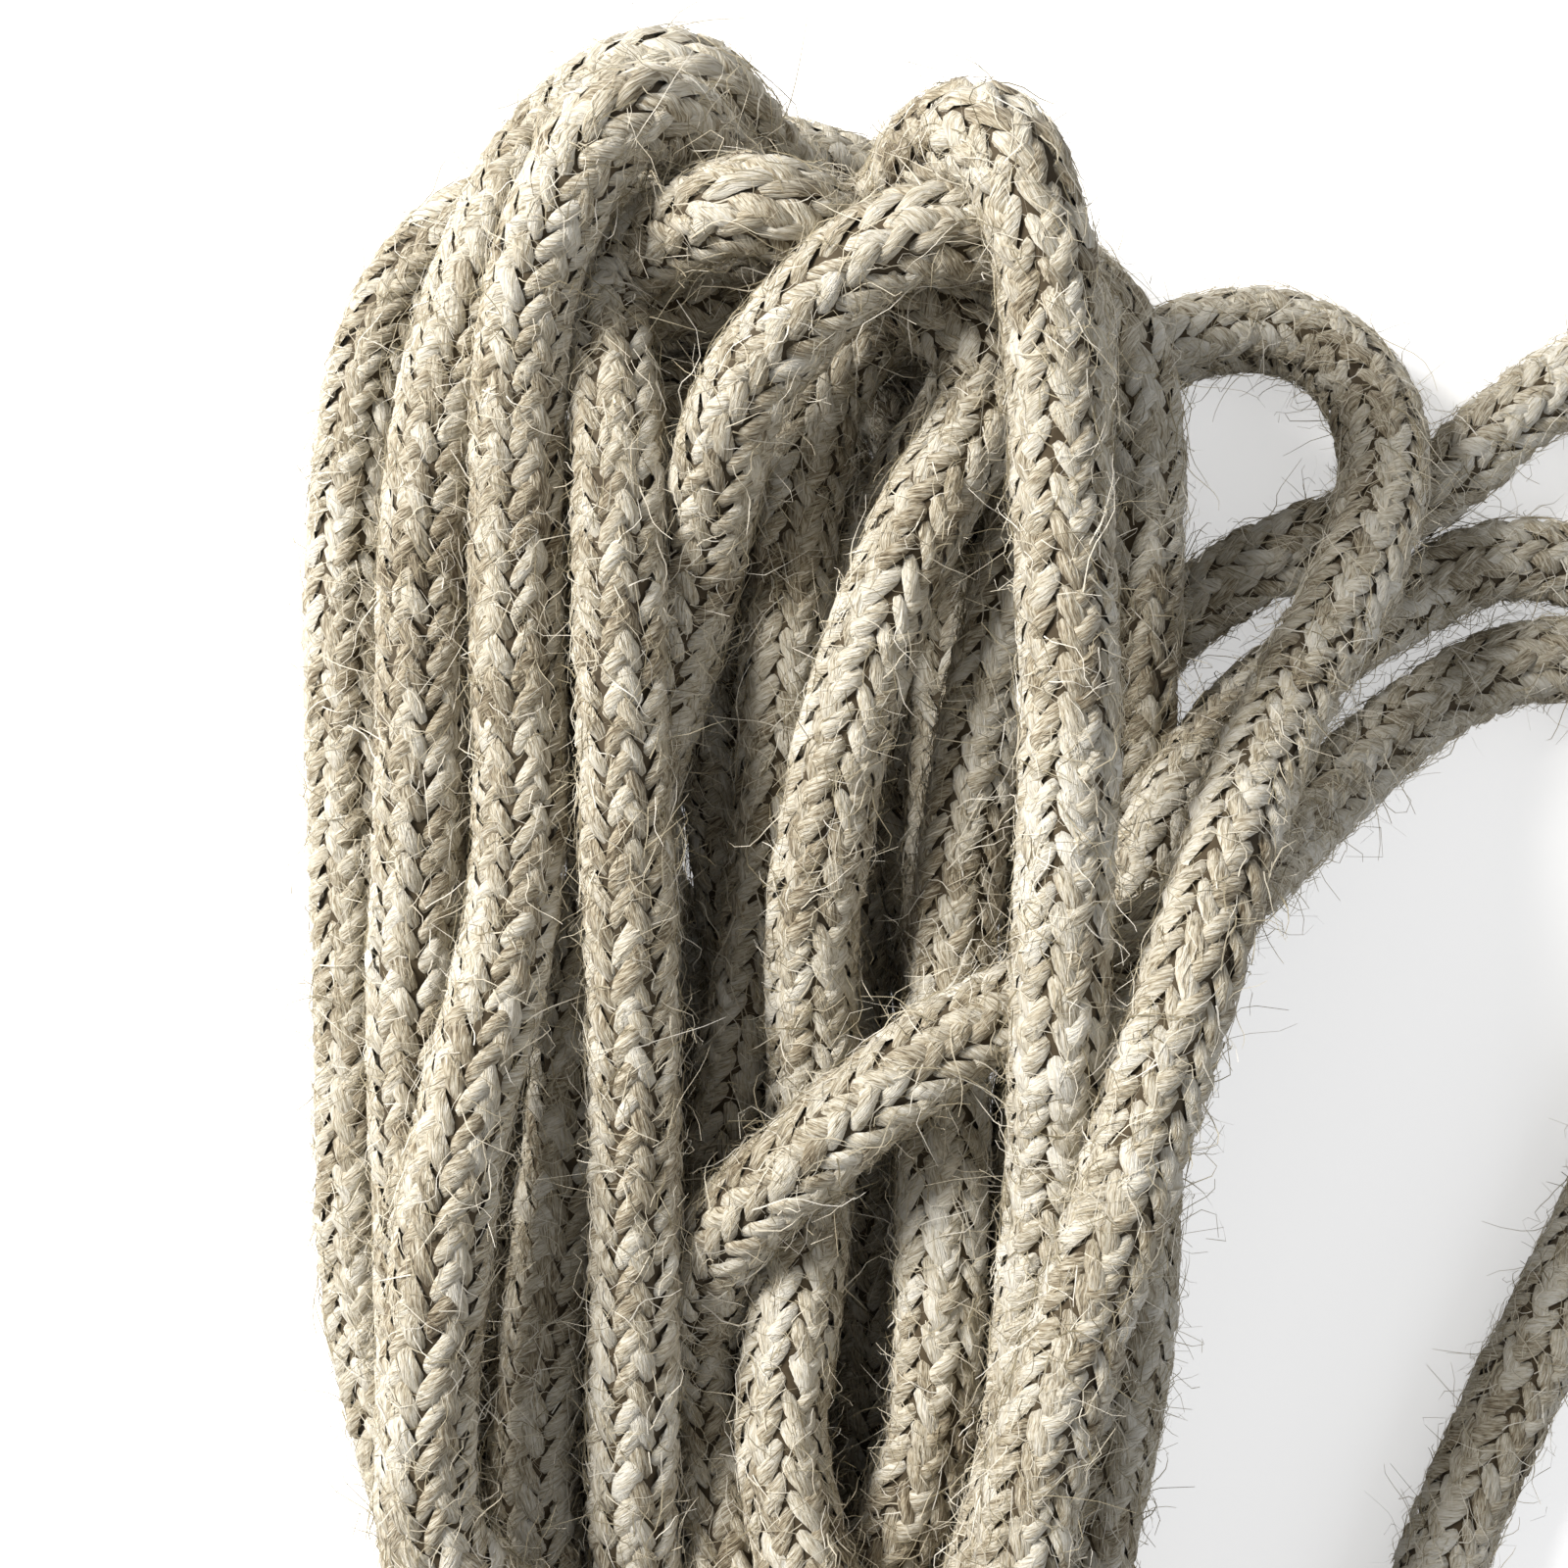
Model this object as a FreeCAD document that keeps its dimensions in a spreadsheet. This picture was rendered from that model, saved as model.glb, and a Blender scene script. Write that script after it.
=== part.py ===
import FreeCAD, Part
import math
import os

from FreeCAD import Vector

# A loose hank of braided jute rope, lying flat, tied round its waist with twine.
# +Y is the long way of the hank, +Z is up, and the hank rests on Z = 0.
# The rope is one length. It runs: first end, start tail, lower wound layers, side bight,
# upper wound layers, loose loop, crossing strand, trailing strand, second end.

document = FreeCAD.newDocument("jute_rope_hank")
sheet = document.addObject("Spreadsheet::Sheet", "Sizes")

# Driving dimensions, in millimetres unless the name says otherwise.
SIZES = [
    ("rope_diameter", 8.0),
    ("rope_sides", 5),
    ("hank_length", 264.0),
    ("hank_axis_offset", -27.4),
    ("hank_waist_offset", 0.9),
    ("inner_half_width", 8.0),
    ("loop_step", 10.0),
    ("waist_inner_half_width", 4.9),
    ("waist_step", 9.95),
    ("layer_rise", 9.3),
    ("waist_layer_rise", 8.9),
    ("waist_bend", 12.0),
    ("exit_height", 52.0),
    ("resting_flat", 1.0),
    ("laying_clearance", 0.5),
    ("tie_diameter", 2.0),
    ("tie_sides", 4),
    ("tie_turns", 2),
    ("tie_clearance", 0.3),
    ("tie_knot_sides", 8),
    ("tie_knot_length", 9.0),
    ("tie_knot_width", 7.0),
    ("tie_knot_height", 5.0),
    ("whipping_sides", 12),
    ("whipping_length", 8.0),
    ("whipping_wall", 1.0),
    ("whipping_inset", 2.5),
    ("whipping_clearance", 0.1),
    ("core_sides", 10),
    ("core_diameter", 4.0),
    ("core_length", 15.0),
    ("core_proud", 0.6),
    ("core_clearance", 0.1),
]

for row_number, (alias, value) in enumerate(SIZES, start=1):
    sheet.set(f"A{row_number}", alias)
    sheet.set(f"B{row_number}", str(value))
    sheet.setAlias(f"B{row_number}", alias)
document.recompute()


def size(alias):
    """The value of one named cell of the sheet."""
    return float(getattr(sheet, alias))


rope_diameter = size("rope_diameter")
rope_radius = rope_diameter / 2
free_axis = rope_radius
bottom_axis = rope_radius - size("resting_flat")
top_level = 3
outer_steps = 2.5
keys_per_turn = 8
reversal_turn = 0.5
lower_keys = (-18, 24)
upper_keys = (-16, 22)
over_strand_right_x = 20.0
over_strand_left_x = -3.0
outer_half_width = size("inner_half_width") + outer_steps * size("loop_step")
outer_waist_half_width = size("waist_inner_half_width") + outer_steps * size("waist_step")
shoulder = size("hank_length") / 2 - rope_radius - outer_half_width
tie_reach = rope_radius + size("tie_clearance") + size("tie_diameter") / 2
waist_bottom_axis = tie_reach + size("tie_diameter") / 2


def bulge_axis(level):
    """Height of the rope's axis in one layer, away from the tie."""
    return bottom_axis + size("layer_rise") * level


def waist_axis(level):
    """Height of the rope's axis in one layer where the tie passes under the hank."""
    return waist_bottom_axis + size("waist_layer_rise") * level


over_axis = waist_axis(top_level) + rope_diameter + size("laying_clearance")
end_axis = rope_radius + size("whipping_wall")
hank_place = Vector(size("hank_axis_offset"), size("hank_waist_offset"), 0)


def unit(vector):
    """The same direction with length one."""
    return Vector(vector).multiply(1 / vector.Length)


def line_edge(start, end):
    """The straight run between two points."""
    return Part.LineSegment(start, end).toShape()


def arc_edge(start, heading, end):
    """The arc that leaves start along heading and passes through end."""
    chord = end - start
    along = unit(chord)
    sideways = heading - along * heading.dot(along)
    if sideways.Length < 1e-6:
        return line_edge(start, end)
    half_turn = math.atan2(sideways.Length, heading.dot(along))
    sagitta = chord.Length / 2 * math.tan(half_turn / 2)
    middle = (start + end) * 0.5 + unit(sideways) * sagitta
    return Part.Arc(start, middle, end).toShape()


def biarc_edges(start, start_heading, end, end_heading):
    """One or two arcs that join smoothly and lead from one heading to another."""
    across = end - start
    along = unit(across)
    arrival = along * (2 * start_heading.dot(along)) - start_heading
    if (arrival - end_heading).Length < 1e-6:
        return [arc_edge(start, start_heading, end)]
    headings = start_heading + end_heading
    spread = 2 * (1 - start_heading.dot(end_heading))
    lean = across.dot(headings)
    if spread < 1e-9:
        reach = across.dot(across) / (2 * lean)
    else:
        reach = (math.sqrt(lean * lean + spread * across.dot(across)) - lean) / spread
    first_corner = start + start_heading * reach
    second_corner = end - end_heading * reach
    middle = (first_corner + second_corner) * 0.5
    middle_heading = unit(second_corner - first_corner)
    return [
        arc_edge(start, start_heading, middle),
        arc_edge(middle, middle_heading, end),
    ]


def tube(path, diameter, sides):
    """A cord of several flat sides, one of them underneath, along a path of arcs and lines."""
    first_edge = path.OrderedEdges[0]
    start = first_edge.valueAt(first_edge.FirstParameter)
    heading = unit(first_edge.tangentAt(first_edge.FirstParameter))
    sideways = unit(heading.cross(Vector(0, 0, 1)))
    upward = sideways.cross(heading)
    corners = []
    for corner_number in range(sides):
        angle = 2 * math.pi * (corner_number + 0.5) / sides
        offset = sideways * math.sin(angle) - upward * math.cos(angle)
        corners.append(start + offset * (diameter / 2))
    section = Part.makePolygon(corners + corners[:1])
    solid = path.makePipeShell([section], True, False)
    area = sides / 2 * (diameter / 2) ** 2 * math.sin(2 * math.pi / sides)
    print(f"  volume {solid.Volume:.0f}, section times length {area * path.Length:.0f}")
    return solid


def least_gap(path, diameter):
    """The smallest clear distance between two turns of one path, measured on points."""
    spacing = 2.0
    count = int(path.Length / spacing)
    points = path.discretize(count)
    cell = diameter * 1.6
    apart = int(3 * diameter / spacing)
    cells = {}
    for number, point in enumerate(points):
        key = tuple(int(value // cell) for value in point)
        cells.setdefault(key, []).append(number)
    nearest = cell
    for (column, row, level), members in cells.items():
        neighbours = []
        for shift in range(27):
            key = (column + shift % 3 - 1, row + shift // 3 % 3 - 1, level + shift // 9 - 1)
            neighbours.extend(cells.get(key, []))
        for number in members:
            for other in neighbours:
                if other > number + apart:
                    nearest = min(nearest, (points[number] - points[other]).Length)
    return nearest - diameter


def hank_key(number, base_level, flip):
    """One key point of the winding: its kind, its place and the way a peak heads.

    A turn has 8 of them: right waist, right shoulder, peak, left shoulder, left waist and
    the same on the way back. The loops step in steadily, climb one layer in the half turn
    about the reversal, and step out again. flip is -1 for a hank wound the other way.
    """
    phase = number % keys_per_turn
    turn = number / keys_per_turn
    steps = max(abs(turn - reversal_turn) - 0.25, 0)
    climb = min(max((turn - reversal_turn) * 2 + 0.5, 0), 1)
    level = base_level + climb * climb * (3 - 2 * climb)
    half_width = size("inner_half_width") + size("loop_step") * steps
    waist_half_width = size("waist_inner_half_width") + size("waist_step") * steps
    side = 1 if phase in (7, 0, 1) else -1
    along = 1 if phase in (1, 2, 3) else -1
    if phase in (0, 4):
        return "waist", Vector(side * waist_half_width, 0, waist_axis(level)), None
    if phase in (2, 6):
        point = Vector(0, along * flip * (shoulder + half_width), bulge_axis(level))
        return "peak", point, Vector(-along, 0, 0)
    return "shoulder", Vector(side * half_width, along * flip * shoulder, bulge_axis(level)), None


def wound_keys(first_and_last, base_level, flip):
    """The key points of one wound stretch, in the order in which the rope is laid."""
    first, last = first_and_last
    return [hank_key(number, base_level, flip) for number in range(first, last + 1)]


def side_exit(waist_key, shoulder_key):
    """Where the rope meets the side bight, part of the way along a right run."""
    along = size("exit_height") / shoulder
    return "exit", waist_key[1] + (shoulder_key[1] - waist_key[1]) * along, None


def biarc_chain(points, headings):
    """Edges that pass smoothly through all the points."""
    edges = []
    for number in range(len(points) - 1):
        edges.extend(biarc_edges(points[number], headings[number],
                                 points[number + 1], headings[number + 1]))
    return edges


def hank_wire(keys):
    """The path of the wound rope: straight runs, bent at the waist, and round end turns.

    A run goes from shoulder to shoulder past the waist, and a half turn joins two runs. The
    path ends straight for one diameter at each end.
    """
    last = len(keys) - 1
    keys = [key for number, key in enumerate(keys) if key[0] != "peak" or number in (0, last)]
    kinds = [key[0] for key in keys]
    points = [key[1] for key in keys]
    last = len(keys) - 1
    setback = size("waist_bend")

    def run_heading(number):
        return unit(points[number + 1] - points[number])

    def key_heading(number):
        if kinds[number] == "peak":
            rise = run_heading(max(number - 1, 0)).z
            return unit(keys[number][2] + Vector(0, 0, rise / 2))
        if number > 0 and kinds[number - 1] in ("waist", "exit"):
            return run_heading(number - 1)
        return run_heading(number)

    lead_in = points[0] - key_heading(0) * rope_diameter
    lead_out = points[last] + key_heading(last) * rope_diameter
    edges = [line_edge(lead_in, points[0])]
    for number in range(last):
        start, end = points[number], points[number + 1]
        if "waist" not in kinds[number:number + 2] and "exit" not in kinds[number:number + 2]:
            edges.extend(biarc_edges(start, key_heading(number), end, key_heading(number + 1)))
            continue
        along = run_heading(number)
        if kinds[number] == "waist":
            start = start + along * setback
        if kinds[number + 1] == "waist":
            end = end - along * setback
        edges.append(line_edge(start, end))
        if kinds[number + 1] == "waist":
            next_start = points[number + 1] + run_heading(number + 1) * setback
            edges.append(arc_edge(end, along, next_start))
    edges.append(line_edge(points[last], lead_out))
    return Part.Wire(edges), lead_in, lead_out


def route_wire(points, name):
    """Straight runs joined by tangent arcs, each as large as its two runs allow."""
    edges = []
    radii = []
    place = points[0]
    for before, here, after in zip(points, points[1:], points[2:]):
        run_in = here - before
        run_out = after - here
        turn = run_in.getAngle(run_out)
        setback = 0.45 * min(run_in.Length, run_out.Length)
        radii.append(setback / math.tan(turn / 2))
        arc_start = here - unit(run_in) * setback
        arc_end = here + unit(run_out) * setback
        edges.append(line_edge(place, arc_start))
        edges.append(arc_edge(arc_start, unit(run_in), arc_end))
        place = arc_end
    edges.append(line_edge(place, points[-1]))
    path = Part.Wire(edges)
    print(f"{name}: {path.Length:.0f} long, least radius {min(radii):.1f}, "
          f"radii {' '.join(f'{radius:.0f}' for radius in radii)}")
    return path


def add_solid(label, shape):
    """One sub-part whose shape is made by Part's functions."""
    item = document.addObject("Part::Feature", label)
    item.Label = label
    item.Shape = shape
    item.Placement = FreeCAD.Placement(hank_place, FreeCAD.Rotation())
    return item


def lower_hank_wire():
    """First two layers: in from the bottom peak, up a layer, and out to the right run."""
    keys = wound_keys(lower_keys, 0, 1)
    keys.append(side_exit(keys[-1], hank_key(lower_keys[1] + 1, 0, 1)))
    return hank_wire(keys)


def upper_hank_wire():
    """Last two layers, wound the other way: in, up a layer, and out to the top peak."""
    keys = wound_keys(upper_keys, 2, -1)
    keys.insert(0, side_exit(keys[0], hank_key(upper_keys[0] - 1, 2, -1)))
    return hank_wire(keys)


lower_wire, lower_start, lower_end = lower_hank_wire()
upper_wire, upper_start, upper_end = upper_hank_wire()
for name, path in (("rope_hank_lower", lower_wire), ("rope_hank_upper", upper_wire)):
    print(f"{name}: {path.Length:.0f} long, least gap {least_gap(path, rope_diameter):.2f}")


# Free stretches. Each route is a list of points chosen from the photograph; the first and
# last points meet the wound rope or the next stretch.
START_TAIL = [
    Vector(-36.0, -76, end_axis),
    Vector(-35.7, -91, end_axis),
    Vector(-32.0, -106, free_axis),
    Vector(-23.0, -119.5, free_axis),
    lower_start,
]

SIDE_BIGHT = [
    lower_end,
    Vector(31.5, 74, 12.0),
    Vector(38.0, 85, 7.0),
    Vector(46.5, 93.5, free_axis),
    Vector(56.5, 98.5, free_axis),
    Vector(66.5, 103.5, free_axis),
    Vector(73.0, 110.0, free_axis),
    Vector(80.5, 114.5, free_axis),
    Vector(88.0, 111.5, free_axis),
    Vector(91.0, 103.5, free_axis),
    Vector(87.5, 96, free_axis),
    Vector(79.0, 94.0, free_axis),
    Vector(66.5, 93, free_axis),
    Vector(56.0, 87.5, free_axis + 1),
    Vector(46.0, 81, 9.0),
    Vector(37.0, 75, 17.0),
    Vector(31.5, 67, 22.5),
    upper_start,
]


def overlay(x, y):
    """A point of a strand that lies over the top layer."""
    return Vector(x, y, over_axis)


LOOSE_LOOP = [
    upper_end,
    Vector(20.0, 127.5, bulge_axis(top_level) - 1.5),
    Vector(31.0, 123.5, 22.0),
    Vector(42.0, 120.5, 12.5),
    Vector(52.5, 121.5, 7.5),
    Vector(61.0, 116.5, 8.5),
    Vector(64.5, 107.5, 14.0),
    Vector(62.0, 97, 20.4),
    Vector(56.0, 87.5, 22.0),
    Vector(50.5, 77.5, 28.5),
    Vector(46.0, 67, 35.5),
    Vector(40.5, 56, over_axis - 1),
    overlay(34.0, 44.5),
    overlay(27.0, 32.5),
    overlay(22.0, 17),
    overlay(over_strand_right_x, -6),
    overlay(21.0, -27),
    overlay(25.0, -49),
    overlay(26.0, -69),
    overlay(21.5, -86),
    overlay(9.5, -97.5),
    overlay(-6.0, -98.5),
    overlay(-16.5, -87),
    overlay(-20.0, -70),
]

CROSSING_STRAND = [
    LOOSE_LOOP[-1],
    overlay(-17.0, -51),
    overlay(-9.0, -31),
    overlay(over_strand_left_x - 0.5, -11),
    overlay(over_strand_left_x, 11),
    overlay(-1.5, 31),
    overlay(7.0, 47),
    overlay(18.0, 57),
    overlay(28.5, 62.5),
    Vector(37.0, 67, over_axis - 2.5),
    Vector(42.5, 70.5, 29.5),
    Vector(47.0, 73.5, 18.0),
]

TRAILING_STRAND = [
    CROSSING_STRAND[-1],
    Vector(52.5, 77, 9.0),
    Vector(60.5, 81.5, free_axis),
    Vector(70.0, 86.5, free_axis),
    Vector(78.5, 87.5, free_axis),
    Vector(86.0, 83, free_axis),
    Vector(90.0, 74.5, free_axis),
    Vector(90.0, 63.5, free_axis),
    Vector(87.0, 51, free_axis),
    Vector(80.5, 38.5, free_axis),
    Vector(73.5, 26.5, free_axis),
    Vector(66.0, 12, free_axis),
    Vector(61.0, -6, free_axis),
    Vector(57.5, -27, end_axis),
    Vector(57.0, -48, end_axis),
]


def ring(radius_x, radius_y, sides):
    """A closed outline of flat sides about the Z axis."""
    corners = []
    for number in range(sides):
        angle = 2 * math.pi * number / sides
        corners.append(Vector(radius_x * math.cos(angle), radius_y * math.sin(angle), 0))
    return Part.makePolygon(corners + corners[:1])


def bored(shape, end_point, heading):
    """A cord end with the hollow that its core fills."""
    radius = size("core_diameter") / 2 + size("core_clearance")
    depth = size("core_length") - size("core_proud") + size("core_clearance")
    hollow = Part.Face(ring(radius, radius, int(size("core_sides")))).extrude(Vector(0, 0, depth))
    hollow.Placement = FreeCAD.Placement(end_point, FreeCAD.Rotation(Vector(0, 0, 1), heading))
    return shape.cut(hollow)


def above_floor(shape):
    """The shape with everything below the resting face cut away."""
    reach = size("hank_length")
    corner = Vector(-reach / 2, -reach, -rope_diameter)
    return shape.cut(Part.makeBox(reach, reach * 2, rope_diameter, corner))


def add_rope(label, path, finish=None):
    """A plain length of the rope along a path, as one sub-part."""
    print(label)
    shape = tube(path, rope_diameter, int(size("rope_sides")))
    if finish:
        shape = finish(shape)
    add_solid(label, shape)


def add_wound_rope():
    """The two wound stretches, the lower one with its resting flat."""
    add_rope("rope_hank_lower", lower_wire, above_floor)
    add_rope("rope_hank_upper", upper_wire)


def add_free_rope():
    """The free stretches, with a bored cut end on the first and the last."""
    def start_finish(shape):
        return above_floor(bored(shape, START_TAIL[0], start_heading))

    def end_finish(shape):
        return bored(shape, TRAILING_STRAND[-1], end_heading)

    add_rope("start_tail", route_wire(START_TAIL, "start_tail"), start_finish)
    add_rope("side_bight", route_wire(SIDE_BIGHT, "side_bight"))
    add_rope("loose_loop", route_wire(LOOSE_LOOP, "loose_loop"))
    add_rope("crossing_strand", route_wire(CROSSING_STRAND, "crossing_strand"))
    add_rope("trailing_strand", route_wire(TRAILING_STRAND, "trailing_strand"), end_finish)


def tie_keys():
    """Points and headings of the twine, which runs tight round the outermost strands.

    Each strand turns the twine on a circle of one rope radius, a clearance and half a twine.
    The twine moves on along the hank where it passes underneath, so its turns lie side by side.
    """
    strands = [
        (over_strand_right_x, over_axis),
        (outer_waist_half_width, waist_axis(top_level)),
        (outer_waist_half_width, waist_axis(0)),
        (-outer_waist_half_width, waist_axis(0)),
        (-outer_waist_half_width, waist_axis(top_level)),
        (over_strand_left_x, over_axis),
    ]
    turns = int(size("tie_turns"))
    pitch = size("tie_diameter") + size("laying_clearance")
    middle_x = (strands[0][0] + strands[-1][0]) / 2
    start_y = -turns * pitch / 2
    keys = [(Vector(middle_x, start_y, over_axis + tie_reach), Vector(1, 0, 0))]
    count = len(strands)
    for turn in range(turns):
        for number, (x, z) in enumerate(strands):
            y = start_y + pitch * (turn + (number > 2))
            for neighbour in (number - 1, number):
                left = strands[neighbour]
                right = strands[(neighbour + 1) % count]
                heading = unit(Vector(right[0] - left[0], 0, right[1] - left[1]))
                outward = Vector(-heading.z, 0, heading.x)
                keys.append((Vector(x, y, z) + outward * tie_reach, heading))
        end_y = start_y + pitch * (turn + 1)
        keys.append((Vector(middle_x, end_y, over_axis + tie_reach), Vector(1, 0, 0)))
    return keys


def tie_knot(middle):
    """A bead with many flat sides, as long across the turns as the knot that it stands for."""
    profile = [(-0.5, 0.5), (-0.3, 1), (0.3, 1), (0.5, 0.5)]
    across_turns = FreeCAD.Rotation(Vector(0, 0, 1), Vector(0, 1, 0))
    sections = []
    for along, share in profile:
        section = ring(size("tie_knot_width") / 2 * share, size("tie_knot_height") / 2 * share,
                       int(size("tie_knot_sides")))
        place = middle + Vector(0, size("tie_knot_length") * along, 0)
        section.Placement = FreeCAD.Placement(place, across_turns)
        sections.append(section)
    return Part.makeLoft(sections, True, True)


def add_tie():
    """The twine's turns, and its knot on top of the hank between two strands."""
    keys = tie_keys()
    points = [key[0] for key in keys]
    headings = [key[1] for key in keys]
    path = Part.Wire(biarc_chain(points, headings))
    gap = least_gap(path, size("tie_diameter"))
    print(f"tie_twine: {path.Length:.0f} long, least gap {gap:.2f}")
    turns = tube(path, size("tie_diameter"), int(size("tie_sides")))
    add_solid("tie_twine", turns.fuse(tie_knot(Vector(points[0].x, 0, points[0].z))))


def end_placement(end_point, heading, inset):
    """A placement whose Z axis runs into the rope from its cut end."""
    turn = FreeCAD.Rotation(Vector(0, 0, 1), heading)
    return FreeCAD.Placement(end_point + heading * inset + hank_place, turn)


def add_whipping(label, end_point, heading):
    """The twine bound round one rope end, as a band."""
    band = document.addObject("Part::Prism", label + "_band")
    band.setExpression("Polygon", "Sizes.whipping_sides")
    band.setExpression("Circumradius", "Sizes.rope_diameter / 2 + Sizes.whipping_wall")
    band.setExpression("Height", "Sizes.whipping_length")
    hole = document.addObject("Part::Prism", label + "_hole")
    hole.setExpression("Polygon", "Sizes.whipping_sides")
    hole.setExpression("Circumradius", "Sizes.rope_diameter / 2 + Sizes.whipping_clearance")
    hole.setExpression("Height", "Sizes.whipping_length")
    whipping = document.addObject("Part::Cut", label)
    whipping.Base = band
    whipping.Tool = hole
    whipping.Label = label
    whipping.Placement = end_placement(end_point, heading, size("whipping_inset"))


def add_core(label, end_point, heading):
    """The end of the rope's core, a little proud of the cut sheath."""
    core = document.addObject("Part::Prism", label)
    core.setExpression("Polygon", "Sizes.core_sides")
    core.setExpression("Circumradius", "Sizes.core_diameter / 2")
    core.setExpression("Height", "Sizes.core_length")
    core.Label = label
    core.Placement = end_placement(end_point, heading, -size("core_proud"))


start_heading = unit(START_TAIL[1] - START_TAIL[0])
end_heading = unit(TRAILING_STRAND[-2] - TRAILING_STRAND[-1])
PARTS = [
    "rope_hank_lower",
    "rope_hank_upper",
    "start_tail",
    "side_bight",
    "loose_loop",
    "crossing_strand",
    "trailing_strand",
    "tie_twine",
    "whipping_start",
    "whipping_end",
    "core_start",
    "core_end",
]

add_wound_rope()
add_free_rope()
add_tie()
for part_end, end_point, heading in (("start", START_TAIL[0], start_heading),
                                     ("end", TRAILING_STRAND[-1], end_heading)):
    add_whipping(f"whipping_{part_end}", end_point, heading)
    add_core(f"core_{part_end}", end_point, heading)
document.recompute()

for item in document.Objects:
    if "Invalid" in item.State or "Error" in item.State:
        raise RuntimeError(f"{item.Label} has failed: {item.State}")

os.makedirs("parts", exist_ok=True)
for label in PARTS:
    shape = document.getObject(label).Shape
    if shape.isNull() or not shape.isValid():
        raise RuntimeError(f"{label} has no valid shape")
    box = shape.BoundBox
    print(f"{label}: {len(shape.Solids)} solid, {shape.Volume:.0f} cubic mm, "
          f"x {box.XMin:.1f} to {box.XMax:.1f}, y {box.YMin:.1f} to {box.YMax:.1f}, "
          f"z {box.ZMin:.2f} to {box.ZMax:.1f}")
    shape.exportStep(f"parts/{label}.step")
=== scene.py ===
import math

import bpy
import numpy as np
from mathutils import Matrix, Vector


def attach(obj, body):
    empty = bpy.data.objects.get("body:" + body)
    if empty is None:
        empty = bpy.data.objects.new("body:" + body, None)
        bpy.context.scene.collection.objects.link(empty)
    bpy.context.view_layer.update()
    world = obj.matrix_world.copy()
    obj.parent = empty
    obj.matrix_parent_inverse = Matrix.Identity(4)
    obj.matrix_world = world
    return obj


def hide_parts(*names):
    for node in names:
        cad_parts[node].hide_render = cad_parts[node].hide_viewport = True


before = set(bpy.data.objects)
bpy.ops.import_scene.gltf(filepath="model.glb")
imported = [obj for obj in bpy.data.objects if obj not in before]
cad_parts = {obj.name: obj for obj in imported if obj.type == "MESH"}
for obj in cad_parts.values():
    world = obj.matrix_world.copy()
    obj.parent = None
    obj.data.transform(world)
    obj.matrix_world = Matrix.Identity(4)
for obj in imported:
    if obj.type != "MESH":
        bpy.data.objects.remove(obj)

# %% [markdown]
# # A loose hank of braided jute rope
# One soft, hairy rope, braided from jute yarns, lies in a hank that is tied round its waist.
# The lesson goes from the rope's line to its braid, its loose fibres, its cut ends and the tie,
# and then to the materials, the light and the camera. Everything is in metres, in the frame of
# the CAD model: +Y is the long way of the hank and +Z is up.

MM = 0.001
ROPE = 8 * MM
RADIUS = ROPE / 2
# The middle of the hank in the CAD frame, in millimetres.
HANK_PLACE = np.array([-27.4, 0.9, 0.0])
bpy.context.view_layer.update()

# %% [markdown]
# ## The camera
# The photograph looks straight down on the upper half of the hank, from close by, so nearer
# strands look larger. The lens comes from how wide the rope looks at the top of the pile.

# %% Camera
LENS = 43.1
SENSOR = 36.0
CAMERA_PLACE = (-23.4 * MM, 75.9 * MM, 180 * MM)

scene = bpy.context.scene
camera_data = bpy.data.cameras.new("camera")
camera_data.lens = LENS
camera_data.sensor_width = SENSOR
camera_data.clip_start = 0.01
camera = bpy.data.objects.new("camera", camera_data)
camera.location = CAMERA_PLACE
scene.collection.objects.link(camera)
scene.camera = camera
print("camera:", LENS, "mm lens,", round(CAMERA_PLACE[2] / MM), "mm above the floor")

# %% [markdown]
# ## The rope's route
# The rope is one line from its first end to its second. Each wound turn is worked out: two
# runs, drawn in at the waist, and two half turns, with 24 points to a turn. Where the
# photograph shows a turn, the points are chosen from it instead. All points are in
# millimetres, measured from the middle of the hank, and become metres at the end.

# %% Wound turns
SHOULDER = 95.0
TOP_SHOULDER = 103.0
INNER_HALF_WIDTH = 8.0
LOOP_STEP = 10.0
WAIST_INNER_HALF_WIDTH = 4.9
WAIST_STEP = 9.95
LOWEST_AXIS = 3.2
LAYER_RISE = 9.3
LOWEST_WAIST_AXIS = 6.3
WAIST_LAYER_RISE = 8.9
KEYS_PER_TURN = 8
SUBSTEPS = 3


def bulge_axis(level):
    """Height of the rope's axis in one layer, away from the tie."""
    return LOWEST_AXIS + LAYER_RISE * level


def waist_axis(level):
    """Height of the rope's axis in one layer at the waist."""
    return LOWEST_WAIST_AXIS + WAIST_LAYER_RISE * level


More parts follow.
